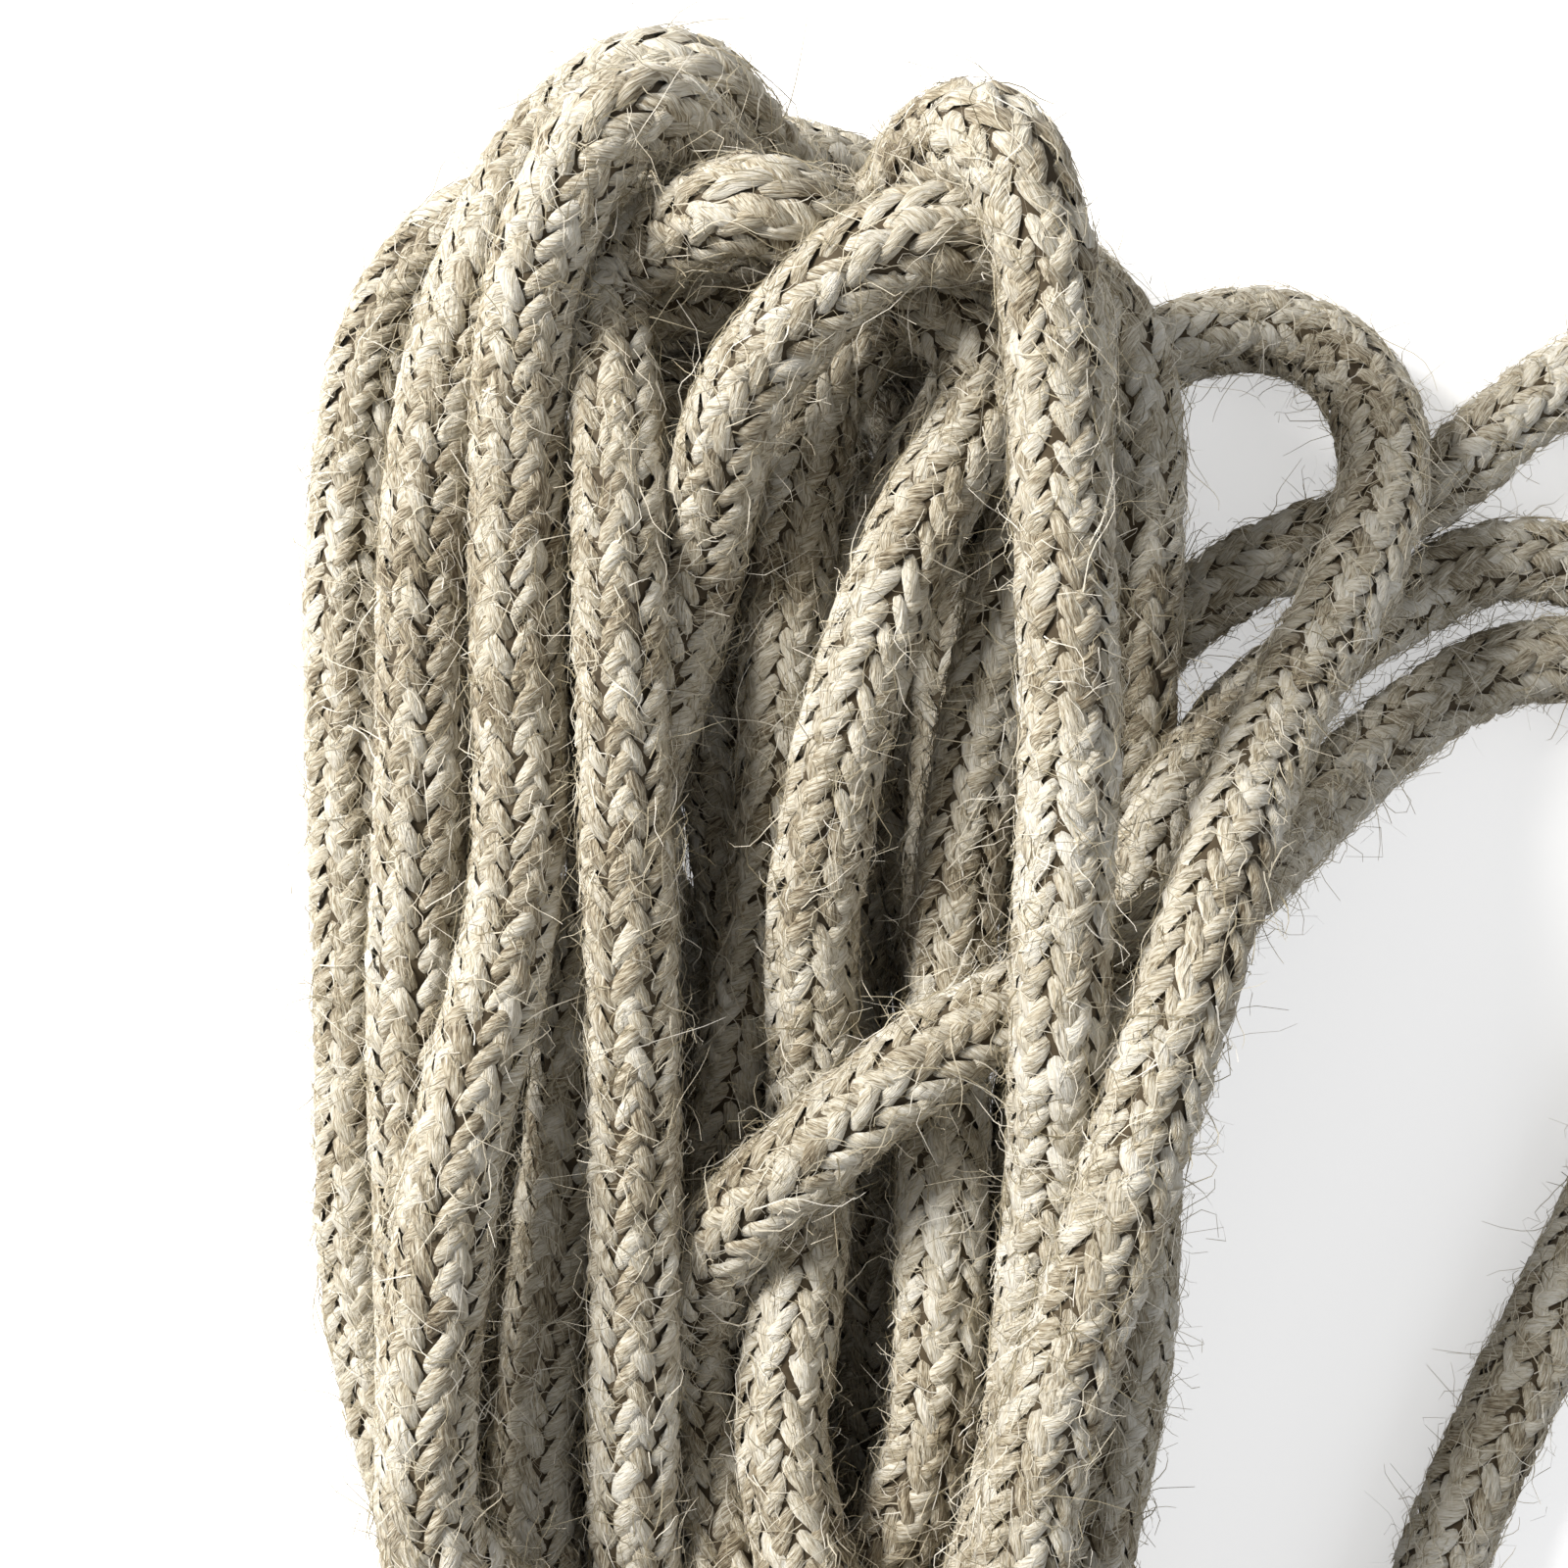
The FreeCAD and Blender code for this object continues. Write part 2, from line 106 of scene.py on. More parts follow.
def wound_point(number, base_level, flip):
    """A point of the winding. number counts eighths of a turn from the right waist.

    The level climbs by one in the middle half turn, by three times the share squared less
    twice its cube. The turns grow by one loop step for each turn away from the middle.
    """
    turn = number / KEYS_PER_TURN
    steps = max(abs(turn - 0.5) - 0.25, 0)
    climb = min(max((turn - 0.5) * 2 + 0.5, 0), 1)
    level = base_level + climb * climb * (3 - 2 * climb)
    half_width = INNER_HALF_WIDTH + LOOP_STEP * steps
    waist_half_width = WAIST_INNER_HALF_WIDTH + WAIST_STEP * steps
    phase = number % KEYS_PER_TURN
    right = phase < 2 or phase >= 6
    up = 0 < phase < 4
    share = phase % 4
    side = 1 if right else -1
    along = flip if up else -flip
    shoulder = TOP_SHOULDER if along > 0 else SHOULDER
    if 1 < share < 3:
        angle = math.radians(90) * (share - 1 if share <= 2 else 3 - share)
        x = side * half_width * math.cos(angle)
        return x, along * (shoulder + half_width * math.sin(angle)), bulge_axis(level)
    out = share if share <= 1 else 4 - share
    x = side * (waist_half_width + (half_width - waist_half_width) * out)
    z = waist_axis(level) + (bulge_axis(level) - waist_axis(level)) * out
    return x, along * shoulder * out, z


def wound(first, last, base_level, flip):
    """Points of the winding between two counts of eighths, both included."""
    count = round((last - first) * SUBSTEPS) + 1
    return [wound_point(first + step / SUBSTEPS, base_level, flip) for step in range(count)]


# %% Turns and free stretches that the photograph shows
# Guessed are the first tail, the hidden turn, and every point below the photograph's edge.
START_TAIL = [(-36, -76, 5), (-35.7, -91, 5), (-32, -106, 4), (-23, -119.5, 4)]
LOBE_TURN = [
    (33, 20, 5), (33.5, 42, 8), (34, 62, 12), (34.4, 80, 15), (34.8, 95, 16), (34.5, 106, 16),
    (31.5, 113, 15), (26, 117.5, 12), (18, 122, 8), (8, 127, 5), (-3, 130, 4), (-13, 128, 4),
    (-21, 120, 4), (-25, 110, 4),
]
NARROW_TURN = [
    (10, 20, 4), (9.5, 40, 4), (9.3, 58, 4.2), (9.3, 74, 5), (10, 88, 8), (12.5, 98, 13),
    (17, 104, 17.5), (20.8, 109, 20.5), (22, 115, 21.5), (17.8, 119.4, 22), (12.6, 118, 22.6),
    (9.4, 113.5, 22.8), (7.5, 110, 22), (6, 103, 21), (5, 95, 20.5), (4.5, 86, 20), (4, 76, 19),
    (3, 66, 18), (1, 56, 16), (-2, 44, 14), (-5, 30, 12), (-6, 14, 11),
]
DARK_TURN = [
    (9.5, 15, 14), (9, 30, 14), (7, 45, 14), (3, 58, 15), (0.5, 72, 16), (-0.5, 86, 17),
    (0.6, 96, 17), (0.8, 104, 16), (-2.2, 109.4, 15), (-7.8, 109.4, 13.5), (-10.7, 104, 12.6),
    (-10.3, 96, 12), (-8.6, 80, 12), (-8.2, 55, 12.5), (-10, 28, 13),
]
LEFT_TURN = [
    (18.5, 111, 11), (13.5, 120, 10), (6, 126.5, 10), (-4, 130, 12), (-13.5, 131, 15),
    (-21.7, 129, 16), (-27, 124.5, 16), (-30.8, 117.5, 16), (-32.7, 109, 16), (-33.5, 100, 16),
    (-33.5, 88, 16), (-33, 75, 16), (-32.2, 60, 16), (-31.6, 44, 16), (-31, 28, 16),
]
SIDE_BIGHT = [
    (29.9, 60, 13.2), (30.8, 70, 10), (33.5, 79, 6.5), (38, 87, 4.5), (44.5, 93, 4), (51.8, 97, 4),
    (59.1, 99.5, 4), (66.5, 103.5, 4), (73, 110, 4), (80.5, 114.5, 4), (88, 111.5, 4),
    (91, 103.5, 4), (87.5, 96.5, 4), (79.5, 95, 4), (73, 96, 4), (68.3, 95.5, 4), (63.7, 93.2, 4),
    (58.2, 90.2, 4.2), (51.2, 86, 5.5), (45.1, 82, 9), (40.5, 78, 14), (36.5, 72.5, 20),
    (33.8, 66, 22.5), (33, 56, 22), (33.6, 42, 21), (33.6, 26, 21),
]
UNDER_TURN = [
    (-25.5, 60, 21.8), (-25.7, 85, 21.5), (-24.5, 102, 21), (-19, 113, 19.5), (-10.5, 118, 18),
    (0, 119, 16.5), (10, 117, 16), (19, 111, 16), (24.5, 101, 17), (26, 85, 18), (26, 65, 19),
    (25.5, 45, 20), (25, 25, 20.5),
]
HEART_TURN = [
    (-17.5, 13, 22), (-16.8, 25.5, 22), (-15.4, 38, 22), (-14.4, 49, 22), (-13, 60, 22),
    (-10.8, 71, 22), (-8.2, 81, 22), (-5.6, 90, 23.5), (-4.4, 97, 26), (-3, 102, 29),
    (-1.4, 106.4, 31), (1.5, 110.5, 32), (5, 114, 33), (8.9, 117.1, 34), (12.8, 118.6, 34),
    (17.1, 118.8, 33), (22, 118.2, 30), (26.3, 115.2, 26), (28, 109.4, 22), (27, 101.8, 20),
    (24, 91.5, 20), (21.5, 81, 20), (19.6, 70, 20.5), (18.8, 59, 21), (18.2, 48.5, 22),
    (17.9, 38.5, 24), (17.8, 28.5, 25), (16.7, 15.5, 25),
]
MIDDLE_TURN = [
    (-6.5, 13.5, 31), (-6.2, 24.4, 31), (-6.1, 36.1, 31), (-6.3, 47.8, 31), (-6.7, 59.4, 31),
    (-7.3, 71.1, 31), (-7.8, 82.8, 31), (-8.2, 93.7, 31), (-8.6, 102.2, 30), (-9.6, 108.5, 28.3),
    (-10.9, 113.5, 26.6), (-11.4, 118, 25.2), (-9.2, 121.8, 25), (-5.6, 123.4, 27),
    (-2.2, 123.5, 30), (0.8, 123.3, 33), (4.5, 122.4, 33), (8, 120.8, 30), (11.5, 118.8, 27),
    (15.5, 116.6, 26), (19.3, 114, 26), (21.6, 110.6, 26.5), (21.4, 106.8, 27), (18.8, 102.8, 28),
    (15.8, 98.5, 29), (13, 92.6, 30), (10.4, 86.4, 30), (8.1, 79.3, 30), (6.4, 71.9, 30),
    (5, 64.7, 28.5), (4.6, 57.4, 26.5), (4.5, 48.9, 24.5), (3.8, 39.5, 24.5), (2.4, 29.9, 27),
    (0.9, 18.3, 29),
]
HOOK_TURN = [
    (-26.6, 13.5, 38), (-26, 25.2, 38), (-24.6, 36.9, 38), (-22.9, 47.2, 37.5), (-20.4, 55.8, 35),
    (-18.8, 63.4, 32), (-17.9, 72.7, 31), (-18, 82.8, 31), (-17.8, 92.1, 31), (-17.2, 101.5, 31),
    (-16.6, 109.2, 31.5), (-15.2, 115.2, 33), (-12.7, 120.3, 35), (-10, 124, 36), (-7, 125.9, 35),
    (-4.2, 125.4, 31.5), (-1.5, 122.6, 26), (1.5, 119.6, 22.5), (5, 116.6, 21), (9, 115, 21),
    (12.8, 115.4, 23), (15, 117.6, 27), (15.9, 119.2, 32), (16.9, 119.8, 36.5),
    (18.7, 119.3, 40.5), (20.9, 116.9, 43), (22.4, 113, 43.5), (23.5, 110.1, 43),
    (24.5, 102.6, 42), (25, 93.9, 41), (25.7, 85.2, 40), (25.9, 76.5, 40), (25.6, 69.2, 40),
    (25.2, 62.1, 40), (25.3, 54.7, 39), (25.7, 46.4, 35), (25.5, 37.1, 32), (24.7, 28.3, 31),
    (23.6, 17.4, 31),
]
OUTER_TURN = [
    (-25.3, 10.6, 30), (-25.2, 25.8, 30), (-25.6, 38.1, 29.5), (-26.3, 50.6, 29.5),
    (-26.4, 60.6, 30), (-25.9, 70.3, 30.5), (-25.7, 81.2, 31), (-25.8, 91.3, 31),
    (-25.3, 101.5, 31), (-24, 109.5, 31), (-22.3, 115.6, 31), (-20, 121.8, 31), (-16.9, 127, 31),
    (-13, 130.9, 31), (-9.1, 132.8, 31), (-5.3, 132.7, 31), (-2.2, 131, 28), (0, 128.3, 24),
    (3.2, 125.4, 20),
]
LOOSE_LOOP = [
    (7, 122.5, 17), (12.8, 119, 15), (19.8, 116.5, 13), (26.4, 114.2, 12), (31.4, 112.8, 12),
    (36.2, 113.5, 11.5), (42.6, 116.2, 10.5), (49.3, 117, 10), (55.3, 113.8, 12),
    (58.1, 106.1, 16), (56.2, 97.2, 20), (51.7, 89.7, 24), (46.1, 81.7, 28), (41.2, 74.2, 33),
    (37.7, 67.6, 38), (35.1, 61.2, 41), (32.8, 54.8, 42), (30.7, 47.6, 42), (28.5, 40.4, 42),
    (26.1, 32.9, 41), (23.4, 24.6, 40.5), (21, 12, 40.5), (20, -6, 40.5), (21, -27, 40),
    (25, -49, 38), (26, -69, 38), (21.5, -86, 38), (9.5, -97.5, 38), (-6, -98.5, 38),
    (-16.5, -87, 38), (-20, -70, 38),
]
CROSSING_STRAND = [
    (-17, -51, 39), (-9, -31, 40), (-5, -14, 39), (-3.6, -3, 34), (-3.8, 8, 28), (-4.5, 18, 24),
    (-5, 26, 23), (-4.6, 32, 25), (-2.6, 36.8, 28.5), (0.6, 40.8, 31.5), (4.2, 44.6, 33.5),
    (7.8, 48.2, 34), (11.7, 51.6, 34), (15.6, 54.8, 33), (19.6, 57.1, 32), (23.5, 59.4, 31.5),
    (27.3, 62.2, 31.5), (31.4, 65.2, 31), (36.6, 68.5, 26), (42.3, 71.6, 18),
]
TRAILING_STRAND = [
    (49.1, 75, 10), (56.1, 79.6, 5.5), (62.8, 84.2, 4), (70.5, 87.6, 4), (78.5, 87.5, 4),
    (86, 83, 4), (90, 74.5, 4), (90.3, 63.5, 4), (87.5, 51, 4), (82.5, 39.5, 4), (77, 28, 4),
    (70.5, 15, 4), (64.8, 1, 4), (61, -13, 4), (58, -30, 5), (57, -48, 5),
]
# The hidden turn lies on the floor, carries the others and closes the gaps between them.
HIDDEN_TURN = [
    (18.6, 20, 3.5), (18.6, 42, 3.3), (15, 64, 3.2), (12, 84, 3.2), (10.2, 99, 3.2),
    (6.5, 109.5, 3.2), (0, 115.5, 3.2), (-7.5, 114, 3.2), (-11.5, 107, 3.2), (-13.6, 96, 3.2),
    (-13.8, 83, 3.3), (-13.4, 74.5, 3.4), (-10, 68.2, 3.5), (-3.7, 61.5, 3.7), (-3.8, 46, 4.4),
    (-7, 30, 5), (-12, 18, 5.6),
]

ROUTE_MM = np.array(
    START_TAIL
    + wound(-18, -16, 0, 1) + LOBE_TURN
    + wound(-13, -8, 0, 1) + HIDDEN_TURN + wound(-4, 0, 0, 1) + NARROW_TURN
    + wound(4, 8, 0, 1) + DARK_TURN
    + wound(12, 17, 0, 1) + LEFT_TURN
    + wound(20, 24, 0, 1) + wound(24 + 1 / 3, 24 + 1 / 3, 0, 1) + SIDE_BIGHT
    + wound(-16, -12, 2, -1) + UNDER_TURN
    + wound(-8, -4, 2, -1) + HEART_TURN
    + wound(0, 4, 2, -1) + MIDDLE_TURN
    + wound(8, 12, 2, -1) + HOOK_TURN
    + wound(16, 20, 2, -1) + OUTER_TURN
    + LOOSE_LOOP + CROSSING_STRAND + TRAILING_STRAND
)
print("route points:", len(ROUTE_MM))

# %% [markdown]
# ## Laying the rope down
# Rope can't pass through itself, so the route is laid down: each strand sinks until it rests
# on the floor or on the strands below, and strands closer than a rope's thickness push each
# other apart. The forces act on points of the spline, and move its control points.

# %% Spline weights
SAMPLES_PER_POINT = 8


def spline_weights(count, per_span):
    """Which three control points make each point of a clamped quadratic spline, and how much.

    The spline has count - 2 spans. In span k the weights are the quadratic B-spline basis on
    knots that are even inside and repeated three times at the two ends.
    """
    knots = np.concatenate([[0, 0], np.arange(count - 1), [count - 2, count - 2]]).astype(float)
    place = (np.arange((count - 2) * per_span) + 0.5) / per_span
    span = np.minimum(place.astype(int), count - 3)
    k0, k1, k2, k3 = (knots[span + shift] for shift in (1, 2, 3, 4))
    left = (k2 - place) / (k2 - k1)
    low = left * (k2 - place) / (k2 - k0)
    high = (1 - left) * (place - k1) / (k3 - k1)
    return span[:, None] + np.arange(3), np.stack([low, 1 - low - high, high], axis=1)


# %% The laying's numbers
ROUNDS = 420
ROUNDS_PER_SEARCH = 12
CONTACT = 7.8
# Pairs of samples are looked for within this many contact lengths.
SEARCH_REACH = 1.5
SINK = 0.05
# The sinking gets less round by round and ends after 1 / SINK_FADE of them.
SINK_FADE = 1.25
# A sample's move is divided by one, plus this for each sample that it touches.
CROWDING = 0.25
# Samples nearer than this many contact lengths along the rope don't press on each other.
NEAR_ALONG = 2.6
# Shares in one round: of an overlap that is taken back, of a sample's move that its control
# points follow, of a move and of its neighbours' moves that are kept, and of a sideways move.
PRESS_SHARE = 0.32
FOLLOW_SHARE = 1.6
OWN_SHARE = 0.7
NEIGHBOUR_SHARE = 0.15
SIDEWAYS_SHARE = 0.995
# The twine passes under the strands near the waist and lifts them.
TIE_LIFT = 2.3
TIE_REACH = 14
TIED_RIGHT_END = 38
print("rounds:", ROUNDS, "contact in mm:", CONTACT)


# %% Samples that press on each other
def close_pairs(points, apart, reach):
    """Pairs of points closer than reach that are at least apart samples from each other."""
    firsts, seconds = [], []
    for start in range(0, len(points), 500):
        block = points[start:start + 500]
        gap = ((block[:, None, :] - points[None, :, :]) ** 2).sum(axis=2)
        first, second = np.nonzero(gap < reach * reach)
        first += start
        keep = second > first + apart
        firsts.append(first[keep])
        seconds.append(second[keep])
    return np.concatenate(firsts), np.concatenate(seconds)


def pressing_pairs(samples, reach):
    """Pairs of samples closer than reach that aren't neighbours along the rope."""
    step = np.linalg.norm(np.diff(samples, axis=0), axis=1)
    place = np.concatenate([[0], np.cumsum(step)])
    first, second = close_pairs(samples, 3, reach)
    keep = place[second] - place[first] > CONTACT * NEAR_ALONG
    return first[keep], second[keep]


# %% The laying
def lay_down(control):
    """Control points moved so that the strands rest on the floor and on each other.

    Each round: samples sink a little, touching samples share a push along the line between
    them, the floor lifts what is too low, and the samples' moves go back to the control
    points in proportion to the spline's weights. The total move is kept smooth, and is
    pulled back a little sideways to where the strand was laid.
    """
    start = control.copy()
    which, weight = spline_weights(len(control), SAMPLES_PER_POINT)
    share = np.bincount(which.ravel(), weight.ravel(), len(control))[:, None]
    for number in range(ROUNDS):
        samples = (control[which] * weight[:, :, None]).sum(axis=1)
        if number % ROUNDS_PER_SEARCH == 0:
            first, second = pressing_pairs(samples, CONTACT * SEARCH_REACH)
        between = samples[second] - samples[first]
        gap = np.linalg.norm(between, axis=1)
        press = np.maximum(CONTACT - gap, 0)[:, None] * PRESS_SHARE * between / gap[:, None]
        move = np.zeros_like(samples)
        count = np.ones(len(samples))
        touching = gap < CONTACT
        np.add.at(move, first, -press)
        np.add.at(move, second, press)
        np.add.at(count, first[touching], CROWDING)
        np.add.at(count, second[touching], CROWDING)
        move /= count[:, None]
        move[:, 2] -= SINK * max(0.0, 1 - SINK_FADE * number / ROUNDS)
        tied = np.exp(-((samples[:, 1] / TIE_REACH) ** 2)) * (samples[:, 0] < TIED_RIGHT_END)
        low = CONTACT / 2 + TIE_LIFT * tied - (samples[:, 2] + move[:, 2])
        move[:, 2] += np.maximum(low, 0)
        shift = np.zeros_like(control)
        for column in range(3):
            pushed = weight * move[:, column][:, None]
            shift[:, column] = np.bincount(which.ravel(), pushed.ravel(), len(control))
        control = control + FOLLOW_SHARE * shift / share
        moved = control - start
        smooth = moved.copy()
        smooth[1:-1] = moved[1:-1] * OWN_SHARE + (moved[:-2] + moved[2:]) * NEIGHBOUR_SHARE
        smooth[:, :2] *= SIDEWAYS_SHARE
        control = start + smooth
    samples = (control[which] * weight[:, :, None]).sum(axis=1)
    first, second = pressing_pairs(samples, CONTACT)
    return control, samples, np.linalg.norm(samples[second] - samples[first], axis=1)


laid, samples, gap = lay_down(ROUTE_MM)
print("closest strands in mm:", gap.min().round(2), "samples closer than 7 mm:",
      int((gap < 7).sum()), "highest axis:", samples[:, 2].max().round(1))

# %% The route's spline, and the points read back from it
curve_data = bpy.data.curves.new("rope_route", "CURVE")
curve_data.dimensions = "3D"
curve_data.resolution_u = 16
spline = curve_data.splines.new("NURBS")
spline.points.add(len(laid) - 1)
for point, place in zip(spline.points, (laid + HANK_PLACE) * MM):
    point.co = (*place, 1)
spline.order_u = 3
spline.use_endpoint_u = True
curve = bpy.data.objects.new("rope_route", curve_data)


def read_line(curve_object):
    """The points of a curve without thickness, in metres."""
    mesh = bpy.data.meshes.new_from_object(curve_object)
    points = np.empty(len(mesh.vertices) * 3)
    mesh.vertices.foreach_get("co", points)
    bpy.data.meshes.remove(mesh)
    return points.reshape(-1, 3)


LEAST_STEP = 0.1 * MM
line = read_line(curve)
steps = np.linalg.norm(np.diff(line, axis=0), axis=1)
line = line[np.concatenate([[True], steps > LEAST_STEP])]
along = np.concatenate([[0], np.cumsum(np.linalg.norm(np.diff(line, axis=0), axis=1))])
ROPE_LENGTH = float(along[-1])
turning = np.diff(line, axis=0)
turning /= np.linalg.norm(turning, axis=1)[:, None]
turning = np.linalg.norm(np.diff(turning, axis=0), axis=1)
# The radius of a bend is the length between two points over the angle turned there.
bend = 0.5 * (along[2:] - along[:-2]) / np.maximum(turning, 1e-6)
print("rope length in m:", round(ROPE_LENGTH, 3), "points:", len(line))
print("tightest bend in mm:", round(float(bend.min()) / MM, 1), "at", line[1 + bend.argmin()] / MM)

# %% [markdown]
# ## A steady frame along the line
# The braid needs a sideways and an outward direction at every point that turn with the rope
# but don't twist about it. Each one is the last one, with the part along the rope taken out.

# %% Frame along the line
def steady_frame(points):
    """Forward, sideways and outward directions along a line that don't twist about it."""
    forward = np.gradient(points, axis=0)
    forward /= np.linalg.norm(forward, axis=1)[:, None]
    beside = np.empty_like(points)
    helper = [0.0, 0.0, 1.0] if abs(forward[0][2]) < 0.9 else [0.0, 1.0, 0.0]
    carried = np.cross(forward[0], helper)
    for number, direction in enumerate(forward):
        carried = carried - direction * carried.dot(direction)
        carried = carried / np.linalg.norm(carried)
        beside[number] = carried
    return forward, beside, np.cross(beside, forward)


tangent, sideways, upward = steady_frame(line)


def on_rope(place, angle, radius):
    """Points at a length along the rope, an angle about it and a distance from its line."""
    columns = [np.interp(place, along, line[:, axis]) for axis in range(3)]
    right = np.stack([np.interp(place, along, sideways[:, axis]) for axis in range(3)], axis=-1)
    above = np.stack([np.interp(place, along, upward[:, axis]) for axis in range(3)], axis=-1)
    out = right * np.cos(angle)[..., None] + above * np.sin(angle)[..., None]
    return np.stack(columns, axis=-1) + out * radius[..., None]


def grid_mesh(name, points, closed=False):
    """An object from a batch of grids of points: batch, rows along, columns across."""
    batch, rows, columns, _ = points.shape
    index = np.arange(batch * rows * columns).reshape(batch, rows, columns)
    if closed:
        index = np.concatenate([index, index[:, :, :1]], axis=2)
    corners = [index[:, :-1, :-1], index[:, :-1, 1:], index[:, 1:, 1:], index[:, 1:, :-1]]
    faces = np.stack(corners, axis=-1).reshape(-1, 4)
    mesh = bpy.data.meshes.new(name)
    mesh.vertices.add(batch * rows * columns)
    mesh.vertices.foreach_set("co", points.ravel())
    mesh.loops.add(faces.size)
    mesh.loops.foreach_set("vertex_index", faces.ravel())
    mesh.polygons.add(len(faces))
    mesh.polygons.foreach_set("loop_start", np.arange(0, faces.size, 4))
    mesh.polygons.foreach_set("loop_total", np.full(len(faces), 4))
    mesh.update(calc_edges=True)
    mesh.shade_smooth()
    item = bpy.data.objects.new(name, mesh)
    scene.collection.objects.link(item)
    return item


# %% [markdown]
# ## The rope's heart
# Inside the braid is a bundle of parallel yarns. It shows only between the braided yarns, and
# its colour is painted dark there, as the shade that lies between them.

# %% Heart
HEART_RADIUS = 3.2 * MM
HEART_SIDES = 12
HEART_STEP = 2.2 * MM
heart_angle = np.arange(HEART_SIDES) / HEART_SIDES * 2 * math.pi
heart_place = np.arange(0, ROPE_LENGTH, HEART_STEP)
heart_place = np.concatenate([heart_place[:1], heart_place, heart_place[-1:]])
heart_radius = np.full(len(heart_place), HEART_RADIUS)
heart_radius[[0, -1]] = 0.02 * MM  # closes both ends
heart_grid = np.meshgrid(heart_place, heart_angle, indexing="ij")
heart_points = on_rope(*heart_grid, np.repeat(heart_radius[:, None], HEART_SIDES, axis=1))
heart = grid_mesh("rope_heart", heart_points[None], closed=True)
print("heart:", len(heart.data.polygons), "faces")

# %% [markdown]
# ## The braid
# Twelve yarns wind one way round the rope and twelve the other way, and each goes over two
# and under two of the others. Counted in crossings, a yarn that winds with the angle shows
# from crossing -2i to -2i+1 of every four, and one that winds against it from 2j-3 to 2j-2.
# Each time a yarn shows is one float: a small arched and rounded grid, whose ends dip in under
# its neighbours. Floats differ a little in width, height and place, as jute yarns do.

# %% Floats of the braid
CARRIERS = 12
LEAD = 33 * MM
CROSSING = LEAD / (2 * CARRIERS)
LAY_ANGLE = math.atan(2 * math.pi * RADIUS / LEAD)
FLOAT_ROWS = 6
FLOAT_COLUMNS = 4
HALF_LENGTH = 2.65 * MM
YARN_WIDTH = 1.86 * MM
CROWN = 4.1 * MM
TIP = 2.95 * MM
ROUNDING = 0.8 * MM
DIP_POWER = 2.8
# A float's width follows an ellipse up to this share of it, and its section a circle.
TAPER = 0.66
SIDE_DROP = 0.96
# Spread of the floats' length and width, as shares, and of their place, bow and height.
LENGTH_SPREAD = 0.07
WIDTH_SPREAD = 0.11
ACROSS_SPREAD = 0.10 * MM
BOW_SPREAD = 0.12 * MM
ALONG_SPREAD = 0.12 * MM
HEIGHT_SPREAD = 0.10 * MM
LEAST_HEIGHT = 0.05 * MM
chance = np.random.default_rng(7)


def float_centres():
    """Length along the rope, angle about it and way of winding of every float."""
    found = []
    count = int(ROPE_LENGTH / (4 * CROSSING)) - 1
    for way in (1, -1):
        for yarn in range(CARRIERS):
            first = (0.5 - 2 * yarn if way == 1 else 2 * yarn - 2.5) % 4
            place = (first + 0.5 + 4 * np.arange(count)) * CROSSING
            angle = 2 * math.pi * (yarn / CARRIERS + way * (place / LEAD))
            found.append(np.stack([place, angle, np.full(count, way)], axis=-1))
    found = np.concatenate(found)
    return found[np.argsort(found[:, 0])]


def float_grids(centres):
    """Points of the floats, and for each point (across, along, chance) to colour it by.

    A point is a share of the half length along the yarn and of the half width across it,
    turned into length along the rope and angle about it by the yarn's lay angle. Its distance
    from the line falls from the crown with a power of the share along, and with a circle's
    drop across.
    """
    count = len(centres)
    along_share = np.sin(np.linspace(-1, 1, FLOAT_ROWS) * math.pi / 2)[None, :, None]
    across_share = np.sin(np.linspace(-1, 1, FLOAT_COLUMNS) * math.pi / 2)[None, None, :]
    place, angle, way = (centres[:, column][:, None, None] for column in range(3))
    vary = chance.normal(0, 1, (6, count, 1, 1)).clip(-2, 2)
    half = HALF_LENGTH * (1 + LENGTH_SPREAD * vary[0])
    width = YARN_WIDTH / 2 * (1 + WIDTH_SPREAD * vary[1])
    width = width * np.sqrt(1 - (TAPER * along_share) ** 2)
    across = width * across_share + ACROSS_SPREAD * vary[2]
    across = across + BOW_SPREAD * vary[3] * (1 - along_share**2)
    forward = half * along_share * math.cos(LAY_ANGLE) + ALONG_SPREAD * vary[4]
    place = place + forward - way * across * math.sin(LAY_ANGLE)
    round_angle = half * along_share * math.sin(LAY_ANGLE) * way + across * math.cos(LAY_ANGLE)
    crown = CROWN + HEIGHT_SPREAD * vary[5]
    drop = ROUNDING * (1 - np.sqrt(1 - (SIDE_DROP * across_share) ** 2))
    radius = crown - (crown - TIP) * np.abs(along_share) ** DIP_POWER - drop
    points = on_rope(place, angle + round_angle / RADIUS, radius)
    points[..., 2] = np.maximum(points[..., 2], LEAST_HEIGHT)
    start = chance.uniform(0, 100, (count, 1, 1))
    ones = np.ones((count, FLOAT_ROWS, FLOAT_COLUMNS))
    fibre = np.stack([across / MM * ones, (half * along_share / MM + start) * ones,
                      chance.uniform(0, 1, (count, 1, 1)) * ones], axis=-1)
    return points, fibre


def add_values(item, name, values):
    """One vector for each point of a mesh, for its material to read."""
    layer = item.data.attributes.new(name, "FLOAT_VECTOR", "POINT")
    layer.data.foreach_set("vector", np.ascontiguousarray(values, dtype=np.float32).ravel())


BRAID_PIECES = 5
centres = float_centres()
braid = []
for number, share in enumerate(np.array_split(centres, BRAID_PIECES)):
    points, fibre = float_grids(share)
    piece = grid_mesh(f"braid_{number + 1}", points)
    add_values(piece, "fibre", fibre)
    braid.append(piece)
print("floats:", len(centres), "triangles in a piece:", len(braid[0].data.polygons) * 2)

